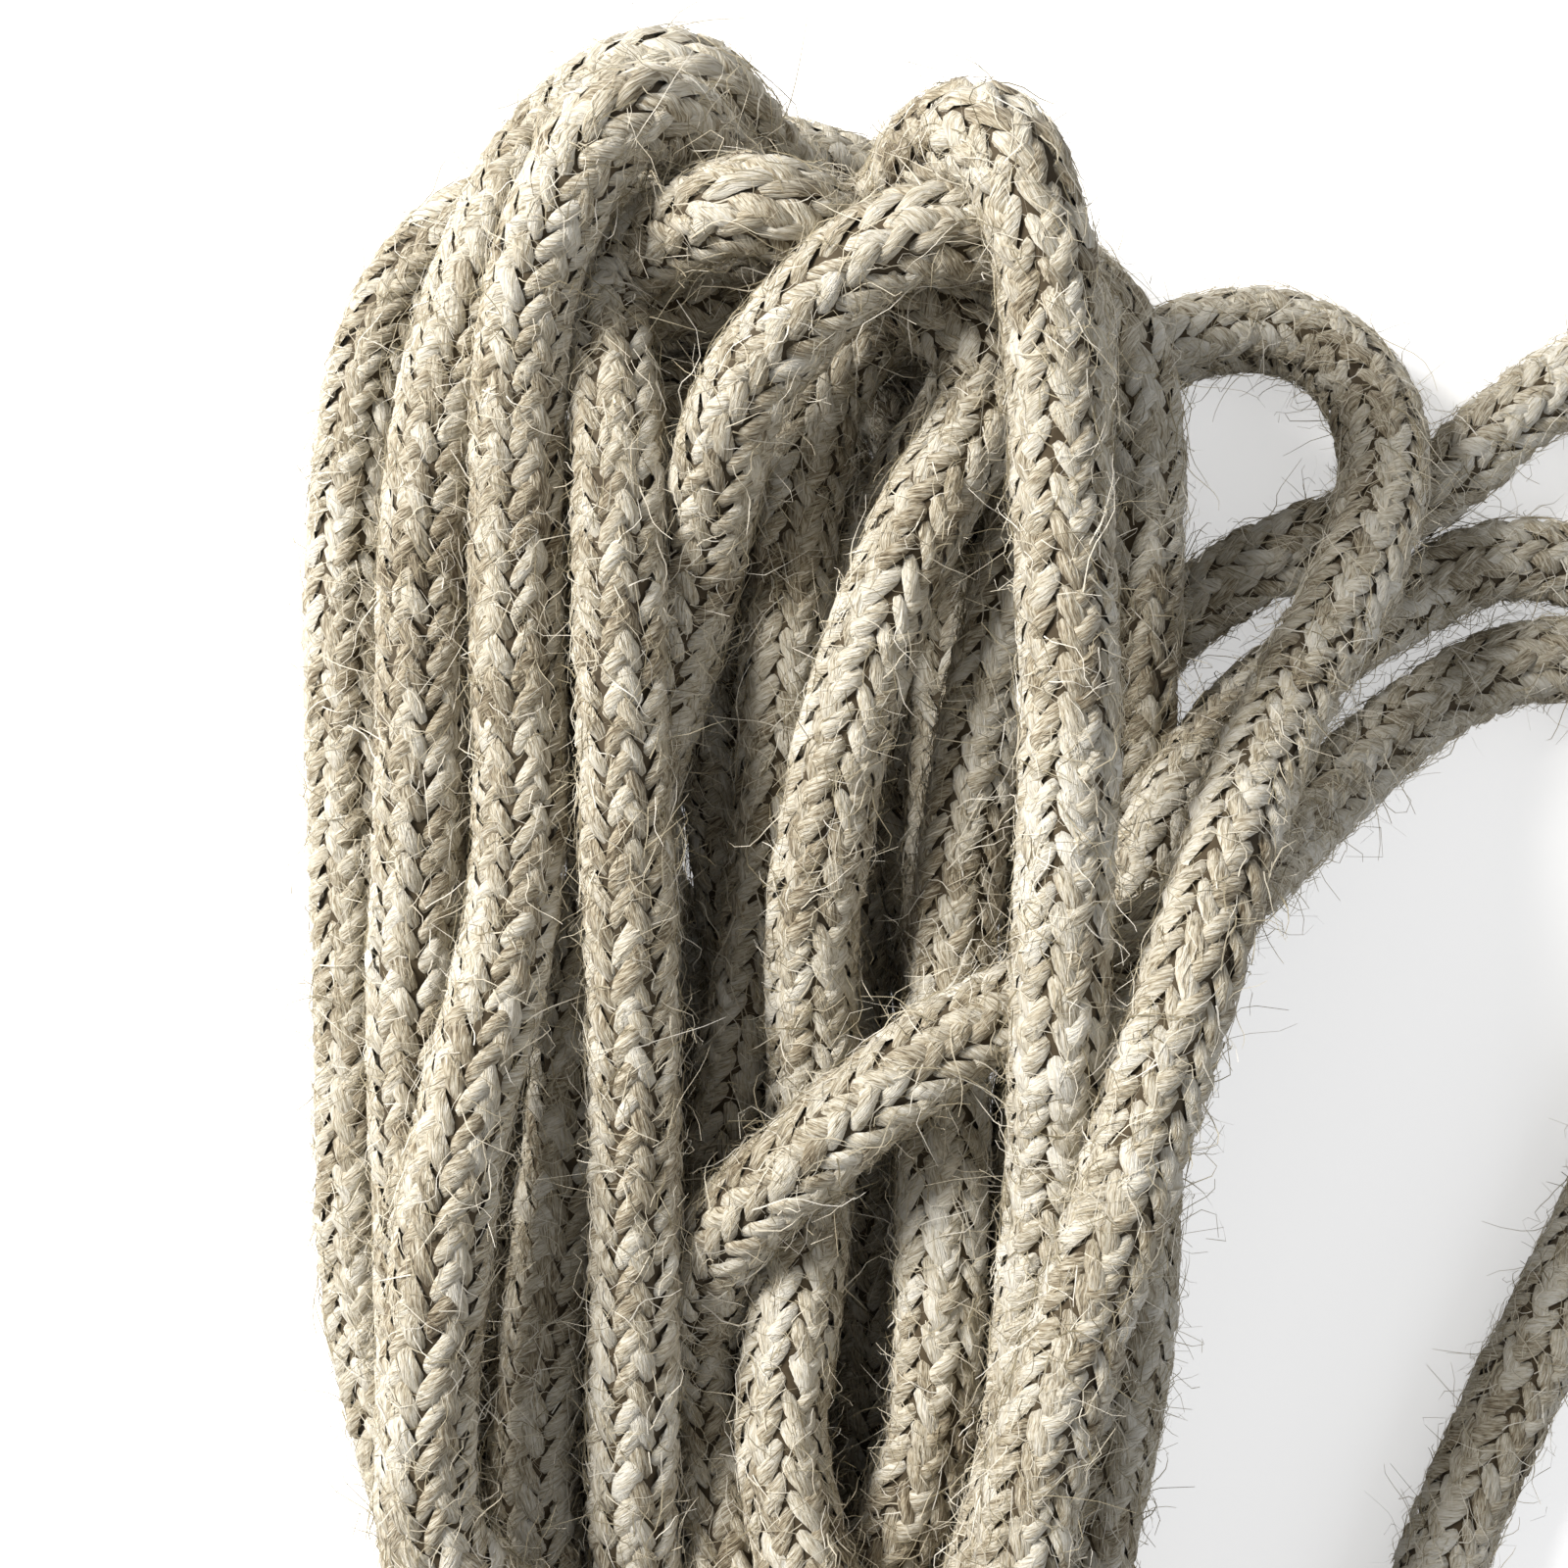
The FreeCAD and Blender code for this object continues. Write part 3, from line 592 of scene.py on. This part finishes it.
# %% [markdown]
# ## Loose fibres
# Jute sheds. Thousands of single fibres, a tenth of a millimetre thick, stand off the braid:
# most lie along a yarn and lift at one end, and a few are long and curl freely. Each one is a
# narrow ribbon that bends in two directions on its way.

# %% Ribbons of loose fibres
FIBRE_WIDTH = 0.12 * MM
FLOOR_GAP = 0.15 * MM
ROOT_DEPTH = 0.1 * MM
# A fibre lifts off the braid by at least this at its tip.
TIP_LIFT = 0.25 * MM
# Spread of the fibres' headings, in radians, and of their curls, as a share of the length.
HEADING_SPREAD = 0.55
CURL_SPREAD = 0.26
STEEPEST = 1.2
THINNING = 0.65
# Name, count, points along, shortest, longest, spread of the rise and angle of the curl.
LOOSE_KINDS = [
    ("fuzz_1", 22000, 5, 1.5 * MM, 4.5 * MM, 0.06, 4.0),
    ("fuzz_2", 22000, 5, 1.5 * MM, 4.5 * MM, 0.12, 5.0),
    ("fuzz_3", 22000, 5, 1.5 * MM, 5 * MM, 0.2, 5.0),
    ("fibres_1", 12800, 8, 3 * MM, 8 * MM, 0.2, 7.0),
    ("fibres_2", 12800, 8, 3 * MM, 9 * MM, 0.3, 8.0),
    ("fibres_3", 12800, 8, 3.5 * MM, 11 * MM, 0.4, 7.0),
]


def fibre_ribbons(count, rows, shortest, longest, lift, curling):
    """Ribbons of loose fibres: batch, rows along, two columns.

    A fibre starts at the braid's surface. It runs on along a yarn's direction, leaves the
    surface by a share of its length, and curls by a slow sine wave in two directions.
    """
    share = np.linspace(0, 1, rows)[None, :]
    root = chance.uniform(2 * MM, ROPE_LENGTH - 2 * MM, (count, 1))
    angle = chance.uniform(0, 2 * math.pi, (count, 1))
    length = shortest + (longest - shortest) * chance.beta(1.2, 2.6, (count, 1))
    heading = LAY_ANGLE * chance.choice([-1, 1], (count, 1))
    heading = heading + chance.normal(0, HEADING_SPREAD, (count, 1))
    onward = chance.choice([-1, 1], (count, 1))
    rise = np.abs(chance.normal(0, lift, (count, 1)))
    waves = chance.uniform(0, 2 * math.pi, (2, count, 1))
    bends = chance.normal(0, CURL_SPREAD, (2, count, 1)) * length
    curl = share**1.5
    side_move = bends[0] * curl * np.sin(waves[0] + curling * share)
    up_move = bends[1] * curl * np.sin(waves[1] + 0.8 * curling * share)
    up_move = rise * length * share**1.4 + up_move
    ahead = length * share * onward * np.cos(np.minimum(rise, STEEPEST))
    place = root + ahead * np.cos(heading) - side_move * np.sin(heading)
    turn = (ahead * np.sin(heading) + side_move * np.cos(heading)) / RADIUS
    surface = RADIUS - ROOT_DEPTH
    radius = np.maximum(surface + up_move, surface + TIP_LIFT * share)
    middle = on_rope(np.clip(place, 0, ROPE_LENGTH), angle + turn, radius)
    middle[..., 2] = np.maximum(middle[..., 2], FLOOR_GAP)
    step = np.gradient(middle, axis=1)
    step /= np.linalg.norm(step, axis=-1, keepdims=True) + 1e-12
    face = chance.normal(0, 1, (count, 1, 3))
    face[..., 2] += 1.2  # turns the ribbons' flat sides upwards
    beside = np.cross(step, np.broadcast_to(face, step.shape))
    beside /= np.linalg.norm(beside, axis=-1, keepdims=True) + 1e-12
    half = FIBRE_WIDTH / 2 * chance.uniform(0.7, 1.2, (count, 1)) * (1 - THINNING * share)
    beside = beside * half[..., None]
    points = np.stack([middle - beside, middle + beside], axis=2)
    values = np.stack([0 * share + root / MM, share * length / MM,
                       0 * share + chance.uniform(0, 1, (count, 1))], axis=-1)
    return points, np.repeat(values[:, :, None, :], 2, axis=2)


loose = []
for name, *numbers in LOOSE_KINDS:
    points, values = fibre_ribbons(*numbers)
    piece = grid_mesh(name, points)
    add_values(piece, "fibre", values)
    loose.append(piece)
print("triangles of the loose fibres:", sum(len(piece.data.polygons) for piece in loose) * 2)

# %% [markdown]
# ## Twine
# The tie and the whippings are two-ply twine: a tube whose radius swells twice round, at an
# angle that turns steadily along it.

# %% Twine tubes
TWINE_SIDES = 12
PLIES = 2
PLY_SWELL = 0.12
TWINE_CLOSING = 0.05


def twine(name, path, radius, turn_length=3.4 * MM):
    """A twisted tube along a path, closed at both ends.

    Its radius falls short of the full one by up to twice the plies' swell, with the cosine
    of the ply count times the angle round it less the twist angle, which grows by a full
    turn in each turn length.
    """
    length = np.concatenate([[0], np.cumsum(np.linalg.norm(np.diff(path, axis=0), axis=1))])
    ahead, beside, above = steady_frame(path)
    angle = np.arange(TWINE_SIDES) / TWINE_SIDES * 2 * math.pi
    twist = angle[None, :] * PLIES - length[:, None] / turn_length * 2 * math.pi
    swell = radius * (1 - PLY_SWELL + PLY_SWELL * np.cos(twist))
    swell[[0, -1]] *= TWINE_CLOSING
    out = beside[:, None, :] * np.cos(angle)[None, :, None]
    out = out + above[:, None, :] * np.sin(angle)[None, :, None]
    points = path[:, None, :] + out * swell[:, :, None]
    item = grid_mesh(name, points[None], closed=True)
    values = np.stack([twist / 2, length[:, None] / MM + 0 * twist, 0.5 + 0 * twist], axis=-1)
    add_values(item, "fibre", values)
    return item


# %% [markdown]
# ## Whippings and cut ends
# Thin twine is wound round each rope end, and beyond it the cut yarns of the sheath and the
# core stand out by a millimetre, side by side in rings.

# %% Whippings
WHIPPING_INSET = 2.5 * MM
WHIPPING_LENGTH = 8 * MM
WHIPPING_TWINE = 0.95 * MM
WHIPPING_TURNS = 8
WHIPPING_POINTS = 28
WHIPPING_RISE = 0.42 * MM


def whipping(name, first, direction):
    """A helix of thin twine on the rope, from a place inwards from the rope's end."""
    turn = np.linspace(0, WHIPPING_TURNS, WHIPPING_TURNS * WHIPPING_POINTS)
    place = first + direction * (WHIPPING_INSET + WHIPPING_LENGTH * turn / WHIPPING_TURNS)
    radius = np.full(len(turn), RADIUS + WHIPPING_RISE)
    path = on_rope(place, turn * 2 * math.pi, radius)
    path[:, 2] = np.maximum(path[:, 2], WHIPPING_TWINE / 2 + 0.05 * MM)
    return twine(name, path, WHIPPING_TWINE / 2, turn_length=1.6 * MM)


whippings = [whipping("whipping_start_twine", 0, 1),
             whipping("whipping_end_twine", ROPE_LENGTH, -1)]
print("whippings:", WHIPPING_TURNS, "turns each")

# %% Cut ends
STUB_ROWS = np.array([-3.0, 0.0, 0.55, 0.85, 1.0])
STUB_WIDTHS = np.array([1.0, 1.0, 0.9, 0.55, 0.03])
STUB_SIDES = 7
RINGS = [(0.0, 1), (1.25 * MM, 6), (2.45 * MM, 12), (3.45 * MM, 17)]


def yarn_stubs(name, direction):
    """The cut yarns at one rope end: short rounded stubs side by side in rings."""
    number = 0 if direction < 0 else -1
    ahead = tangent[number] * direction
    beside, above = sideways[number], upward[number]
    spots = [(radius, turn / count * 2 * math.pi)
             for radius, count in RINGS for turn in range(count)]
    radius, angle = np.array(spots).T
    count = len(spots)
    length = chance.uniform(0.7, 1.5, count) * MM
    size = chance.uniform(0.52, 0.66, count) * MM
    round_angle = np.arange(STUB_SIDES) / STUB_SIDES * 2 * math.pi
    middle = beside * (radius * np.cos(angle))[:, None] + above * (radius * np.sin(angle))[:, None]
    rows = ahead * (STUB_ROWS[None, :] * length[:, None])[:, :, None]
    ring = beside * np.cos(round_angle)[:, None] + above * np.sin(round_angle)[:, None]
    widths = size[:, None, None, None] * STUB_WIDTHS[None, :, None, None]
    points = line[number] + middle[:, None, None, :] + rows[:, :, None, :] + ring * widths
    item = grid_mesh(name, points, closed=True)
    values = np.zeros((count, len(STUB_ROWS), STUB_SIDES, 3))
    values[..., 0] = round_angle
    values[..., 1] = STUB_ROWS[None, :, None]
    values[..., 2] = chance.uniform(0, 1, (count, 1, 1))
    add_values(item, "fibre", values)
    return item


cut_ends = [yarn_stubs("cut_yarns_start", -1), yarn_stubs("cut_yarns_end", 1)]
print("cut yarns at each end:", sum(count for _, count in RINGS))

# %% [markdown]
# ## The tie
# The strands that pass the waist are cut by a plane across the hank, and the tie follows the
# tight outline round them: two turns side by side, a knot on top and two short ends. The
# photograph ends above it, so its place and form are taken from tied hanks in shops.

# %% Tie outline
TWINE_RADIUS = 1.0 * MM
TIE_PITCH = 2.3 * MM
WAIST_Y = HANK_PLACE[1] * MM
WAIST_DEPTH = 2.5 * MM
TIED_RIGHT_X = 12 * MM
RING_POINTS = 24


def outline(points):
    """The convex outline of points in a plane, anticlockwise, by sorting and left turns."""
    points = points[np.lexsort((points[:, 1], points[:, 0]))]
    halves = []
    for ordered in (points, points[::-1]):
        half = []
        for point in ordered:
            while len(half) > 1:
                before, last = half[-2:]
                cross = (last[0] - before[0]) * (point[1] - before[1])
                cross -= (last[1] - before[1]) * (point[0] - before[0])
                if cross > 0:
                    break
                half.pop()
            half.append(point)
        halves += half[:-1]
    return np.array(halves)


# The trailing strand passes further to the right and isn't tied.
near_waist = (np.abs(line[:, 1] - WAIST_Y) < WAIST_DEPTH) & (line[:, 0] < TIED_RIGHT_X)
crossing = line[near_waist][:, [0, 2]]
ring = np.linspace(0, 2 * math.pi, RING_POINTS + 1)[:-1]
ring = np.stack([np.cos(ring), np.sin(ring)], axis=-1) * (CROWN + TWINE_RADIUS)
hull = outline((crossing[:, None, :] + ring[None, :, :]).reshape(-1, 2))
# The outline starts on top, near the hank's middle, where the knot lies.
knot_height = hull[:, 1] - 0.15 * np.abs(hull[:, 0] - HANK_PLACE[0] * MM)
hull = np.roll(hull, -int(np.argmax(knot_height)), axis=0)
hull = np.concatenate([hull, hull[:1]])
hull_length = np.concatenate([[0], np.cumsum(np.linalg.norm(np.diff(hull, axis=0), axis=1))])
hull[:, 1] = np.maximum(hull[:, 1], TWINE_RADIUS + 0.1 * MM)
print("tie outline in mm:", round(hull_length[-1] / MM), "points at the waist:", len(crossing))


def round_waist(turn, offset):
    """Points of the tie: turn counts turns, and offset moves along the hank."""
    place = np.mod(turn, 1) * hull_length[-1]
    x = np.interp(place, hull_length, hull[:, 0])
    z = np.interp(place, hull_length, hull[:, 1])
    return np.stack([x, WAIST_Y + offset + 0 * x, z], axis=-1)


# %% Tie and knot
# The knot is a trefoil: in the plane the sine and cosine of the angle and of twice the angle,
# and upwards the sine of three times the angle.
TIE_TURNS = 2.0
KNOT_RISE = 1.75 * MM
KNOT_WIDTH = 1.05 * MM
KNOT_LENGTH = 0.85 * MM
KNOT_HEIGHT = 1.0 * MM
turns = np.linspace(0.0, TIE_TURNS, 620)
tie_path = round_waist(turns, TIE_PITCH * (turns - 1.0))
knot_middle = tie_path[0] + np.array([0, TIE_PITCH, KNOT_RISE])
knot_turn = np.linspace(0, 2.02 * math.pi, 150)
knot_path = np.stack([
    KNOT_WIDTH * (np.sin(knot_turn) + 2 * np.sin(2 * knot_turn)),
    KNOT_LENGTH * (np.cos(knot_turn) - 2 * np.cos(2 * knot_turn)),
    -KNOT_HEIGHT * np.sin(3 * knot_turn),
], axis=-1) + knot_middle
end_share = np.linspace(0, 1, 70)
tie_ends = []
# Way round the waist, and length as a share of a turn.
for way, length in ((1, 0.115), (-1, 0.095)):
    path = round_waist(way * length * end_share + 1, 0 * end_share)
    path[:, 1] += way * (3.2 * MM * end_share + 1.2 * MM * np.sin(3 * end_share)) + TIE_PITCH / 2
    path[:, 2] += 2.15 * MM - 0.3 * MM * end_share
    tie_ends.append(path)
tie = [twine("tie_turns", tie_path, TWINE_RADIUS), twine("tie_knot", knot_path, TWINE_RADIUS)]
tie += [twine(f"tie_end_{number + 1}", path, TWINE_RADIUS) for number, path in enumerate(tie_ends)]
print("tie pieces:", [piece.name for piece in tie])

# %% [markdown]
# ## Materials
# Jute is a pale grey-brown bast fibre. Each yarn is a bundle of fibres laid at an angle, so
# the streaks of its colour and its relief run slantwise along the yarn. The fibre values of
# the meshes are in millimetres across and along the yarn, with a chance value for each float,
# each fibre and each cut yarn.

# %% Node tools
def srgb(code):
    """Linear colour of a hex code: below 0.04045 a division, above it a power of 2.4."""
    parts = [int(code[place:place + 2], 16) / 255 for place in (1, 3, 5)]
    linear = [part / 12.92 if part <= 0.04045 else ((part + 0.055) / 1.055) ** 2.4
              for part in parts]
    return (*linear, 1.0)


def add_node(tree, kind, inputs=(), **settings):
    """A node of a kind, with settings on the node and constants or links on its inputs."""
    node = tree.nodes.new(kind)
    for name, value in settings.items():
        setattr(node, name, value)
    for name, value in dict(inputs).items():
        if isinstance(value, bpy.types.NodeSocket):
            tree.links.new(value, node.inputs[name])
        else:
            node.inputs[name].default_value = value
    return node


def ramp(tree, factor, stops):
    """A colour ramp from (place, hex code) pairs."""
    node = add_node(tree, "ShaderNodeValToRGB", {"Fac": factor})
    elements = node.color_ramp.elements
    while len(elements) < len(stops):
        elements.new(0.5)
    for element, (place, code) in zip(elements, stops):
        element.position = place
        element.color = srgb(code)
    return node.outputs["Color"]


def math_node(tree, operation, first, second):
    """One sum, product or other operation of two values."""
    return add_node(tree, "ShaderNodeMath", {0: first, 1: second}, operation=operation).outputs[0]


def new_material(name):
    """A material with no nodes yet, and its node tree."""
    material = bpy.data.materials.new(name)
    material.use_nodes = True
    material.node_tree.nodes.clear()
    return material, material.node_tree


def finish_material(tree, shader):
    """Puts a shader on the material's output."""
    add_node(tree, "ShaderNodeOutputMaterial", {"Surface": shader})


# %% Jute yarn
# Changes of tone per millimetre along a yarn, how far apart two yarns' patterns lie, how much
# finer the second pattern is, and how far yarns differ in tone.
ALONG_SCALE = 0.55
YARN_STEP = 40.0
FINER = 2.7
YARN_TONE = 0.16
PATCHES_PER_METRE = 45.0


def noise(tree, vector, scale, detail):
    """Soft random values between 0 and 1."""
    return add_node(tree, "ShaderNodeTexNoise", {
        "Vector": vector, "Scale": scale, "Detail": detail, "Roughness": 0.6}).outputs["Fac"]


def jute(name, stops, slant, streaks, patches, relief):
    """Bundled jute fibres: slanted streaks, a tone for each yarn, and patches on the rope."""
    material, tree = new_material(name)
    fibre = add_node(tree, "ShaderNodeAttribute", attribute_name="fibre").outputs["Vector"]
    split = add_node(tree, "ShaderNodeSeparateXYZ", {0: fibre})
    across, along_yarn, yarn = split.outputs
    leaning = math_node(tree, "ADD", across, math_node(tree, "MULTIPLY", along_yarn, slant))
    laid_vector = add_node(tree, "ShaderNodeCombineXYZ", {
        0: math_node(tree, "MULTIPLY", leaning, streaks),
        1: math_node(tree, "MULTIPLY", along_yarn, ALONG_SCALE),
        2: math_node(tree, "MULTIPLY", yarn, YARN_STEP),
    }).outputs[0]
    strands = noise(tree, laid_vector, 1.0, 2.0)
    finest = noise(tree, laid_vector, FINER, 2.0)
    fine = math_node(tree, "ADD", math_node(tree, "MULTIPLY", strands, 0.5),
                     math_node(tree, "MULTIPLY", finest, 0.5))
    place = add_node(tree, "ShaderNodeTexCoord").outputs["Object"]
    patch = noise(tree, place, PATCHES_PER_METRE, 3.0)
    tone = math_node(tree, "MULTIPLY", math_node(tree, "SUBTRACT", yarn, 0.5), YARN_TONE)
    tone = math_node(tree, "ADD", fine, tone)
    worn = math_node(tree, "MULTIPLY", math_node(tree, "SUBTRACT", patch, 0.5), patches)
    tone = math_node(tree, "ADD", tone, worn)
    colour = ramp(tree, tone, stops)
    bump = add_node(tree, "ShaderNodeBump", {
        "Height": fine, "Strength": 0.9, "Distance": relief}).outputs["Normal"]
    shader = add_node(tree, "ShaderNodeBsdfPrincipled", {
        "Base Color": colour, "Roughness": 0.72, "Normal": bump, "Sheen Weight": 0.18,
        "Sheen Roughness": 0.5, "Specular IOR Level": 0.25})
    finish_material(tree, shader.outputs[0])
    return material


# Undyed jute yarns of the sheath: matt, with a faint sheen. The streaks are about 0.2 mm
# apart, which is some three pixels in the render.
yarn_material = jute("jute_yarn", [
    (0.3, "#574934"), (0.42, "#9F937C"), (0.51, "#C8C0AD"), (0.6, "#DDD8CB"), (0.7, "#E6E3DA"),
], 0.42, 4.4, 0.4, 0.4 * MM)
# Parallel jute yarns of the core under the sheath, painted dark as the shade between the yarns.
core_painted_shade_material = jute("jute_core", [(0.3, "#31281B"), (0.7, "#6E5F46")], 0.0, 2.0, 0.2, 0.2 * MM)
# Two-ply jute twine, browner than the rope, because it is spun from coarser fibre.
twine_material = jute("jute_twine", [
    (0.25, "#6E5836"), (0.5, "#A98C5C"), (0.75, "#CDB583")], 0.0, 3.0, 0.2, 0.3 * MM)
# Cut yarn ends, paler where the fibres are broken.
cut_material = jute("jute_cut", [
    (0.3, "#8F7F60"), (0.5, "#C4B492"), (0.75, "#E8DDC4")], 0.0, 4.0, 0.2, 0.3 * MM)

# %% Loose fibres and who wears what
# Single jute fibres, thin enough to let some light through.
fibre_material, tree = new_material("jute_fibre")
fibre = add_node(tree, "ShaderNodeAttribute", attribute_name="fibre").outputs["Vector"]
fibre_tone = add_node(tree, "ShaderNodeSeparateXYZ", {0: fibre}).outputs[2]
fibre_colour = ramp(tree, fibre_tone, [
    (0.0, "#8C8268"), (0.35, "#C0B69E"), (0.7, "#E4DDCC"), (1.0, "#F6F2E8")])
surface = add_node(tree, "ShaderNodeBsdfPrincipled", {
    "Base Color": fibre_colour, "Roughness": 0.5, "Specular IOR Level": 0.4})
through = add_node(tree, "ShaderNodeBsdfTranslucent", {"Color": fibre_colour})
both = add_node(tree, "ShaderNodeMixShader", {
    0: 0.3, 1: surface.outputs[0], 2: through.outputs[0]})
finish_material(tree, both.outputs[0])

for piece in braid:
    piece.data.materials.append(yarn_material)
for piece in loose:
    piece.data.materials.append(fibre_material)
for piece in whippings + tie:
    piece.data.materials.append(twine_material)
for piece in cut_ends:
    piece.data.materials.append(cut_material)
heart.data.materials.append(core_painted_shade_material)
print("materials:", [material.name for material in bpy.data.materials])

# %% [markdown]
# ## Floor and light
# The photograph is cut out on white, under soft daylight from the upper left. The floor is a
# white sheet that keeps the rope's soft shadow. The key light stands low at the upper left, so
# that it is weaker at the hank's right, and a wide, weak fill light stands at the lower right.

# %% Floor
FLOOR_HALF = 1.2
floor = grid_mesh("floor", FLOOR_HALF * np.array([[[-1, -1, 0], [1, -1, 0]],
                                                  [[-1, 1, 0], [1, 1, 0]]])[None])
# White paper, made a little brighter for the camera, so that it looks white and keeps shadows.
paper, tree = new_material("white_paper")
white = srgb("#F2F2F2")
matt = add_node(tree, "ShaderNodeBsdfDiffuse", {"Color": white})
glow = add_node(tree, "ShaderNodeEmission", {"Color": white, "Strength": 0.58})
bright = add_node(tree, "ShaderNodeAddShader", {0: matt.outputs[0], 1: glow.outputs[0]})
rays = add_node(tree, "ShaderNodeLightPath")
seen = math_node(tree, "MAXIMUM", rays.outputs["Is Camera Ray"], rays.outputs["Is Glossy Ray"])
seen = math_node(tree, "MAXIMUM", seen, rays.outputs["Is Transmission Ray"])
mixed = add_node(tree, "ShaderNodeMixShader", {0: seen, 1: matt.outputs[0], 2: bright.outputs[0]})
finish_material(tree, mixed.outputs[0])
floor.data.materials.append(paper)

# %% Light
def area_light(name, place, aim, size, energy, colour):
    """A square light at a place in metres, turned towards a point."""
    data = bpy.data.lights.new(name, "AREA")
    data.size = size
    data.energy = energy
    data.color = srgb(colour)[:3]
    item = bpy.data.objects.new(name, data)
    item.location = place
    item.rotation_euler = (Vector(aim) - Vector(place)).to_track_quat("-Z", "Y").to_euler()
    scene.collection.objects.link(item)


area_light("key", (-0.39, 0.27, 0.30), (-0.02, 0.06, 0.01), 0.18, 4.75, "#FFFCF7")
area_light("fill", (0.65, -0.25, 0.60), (0.0, 0.05, 0.01), 0.70, 1.7, "#F4F8FF")
world = bpy.data.worlds.new("daylight")
world.use_nodes = True
world.node_tree.nodes["Background"].inputs["Color"].default_value = srgb("#F8F8F8")
world.node_tree.nodes["Background"].inputs["Strength"].default_value = 0.30
scene.world = world
scene.view_settings.view_transform = "Standard"
print("lights:", [light.name for light in bpy.data.lights])

# %% [markdown]
# ## Hiding the CAD parts and attaching the pieces
# The CAD model's parts are hidden. The whole rope rides on the model's root: the heart, which is
# built along the rope's line, and every other piece.

# %% Hiding and attaching
ROPE_NODES = ("rope_hank_lower", "rope_hank_upper", "start_tail", "side_bight", "loose_loop",
              "crossing_strand", "trailing_strand")
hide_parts(*ROPE_NODES)
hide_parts("tie_twine")
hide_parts("whipping_start")
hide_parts("whipping_end")
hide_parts("core_start")
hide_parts("core_end")
others = braid + loose + whippings + cut_ends + tie
for piece in [heart] + others:
    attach(piece, "root")
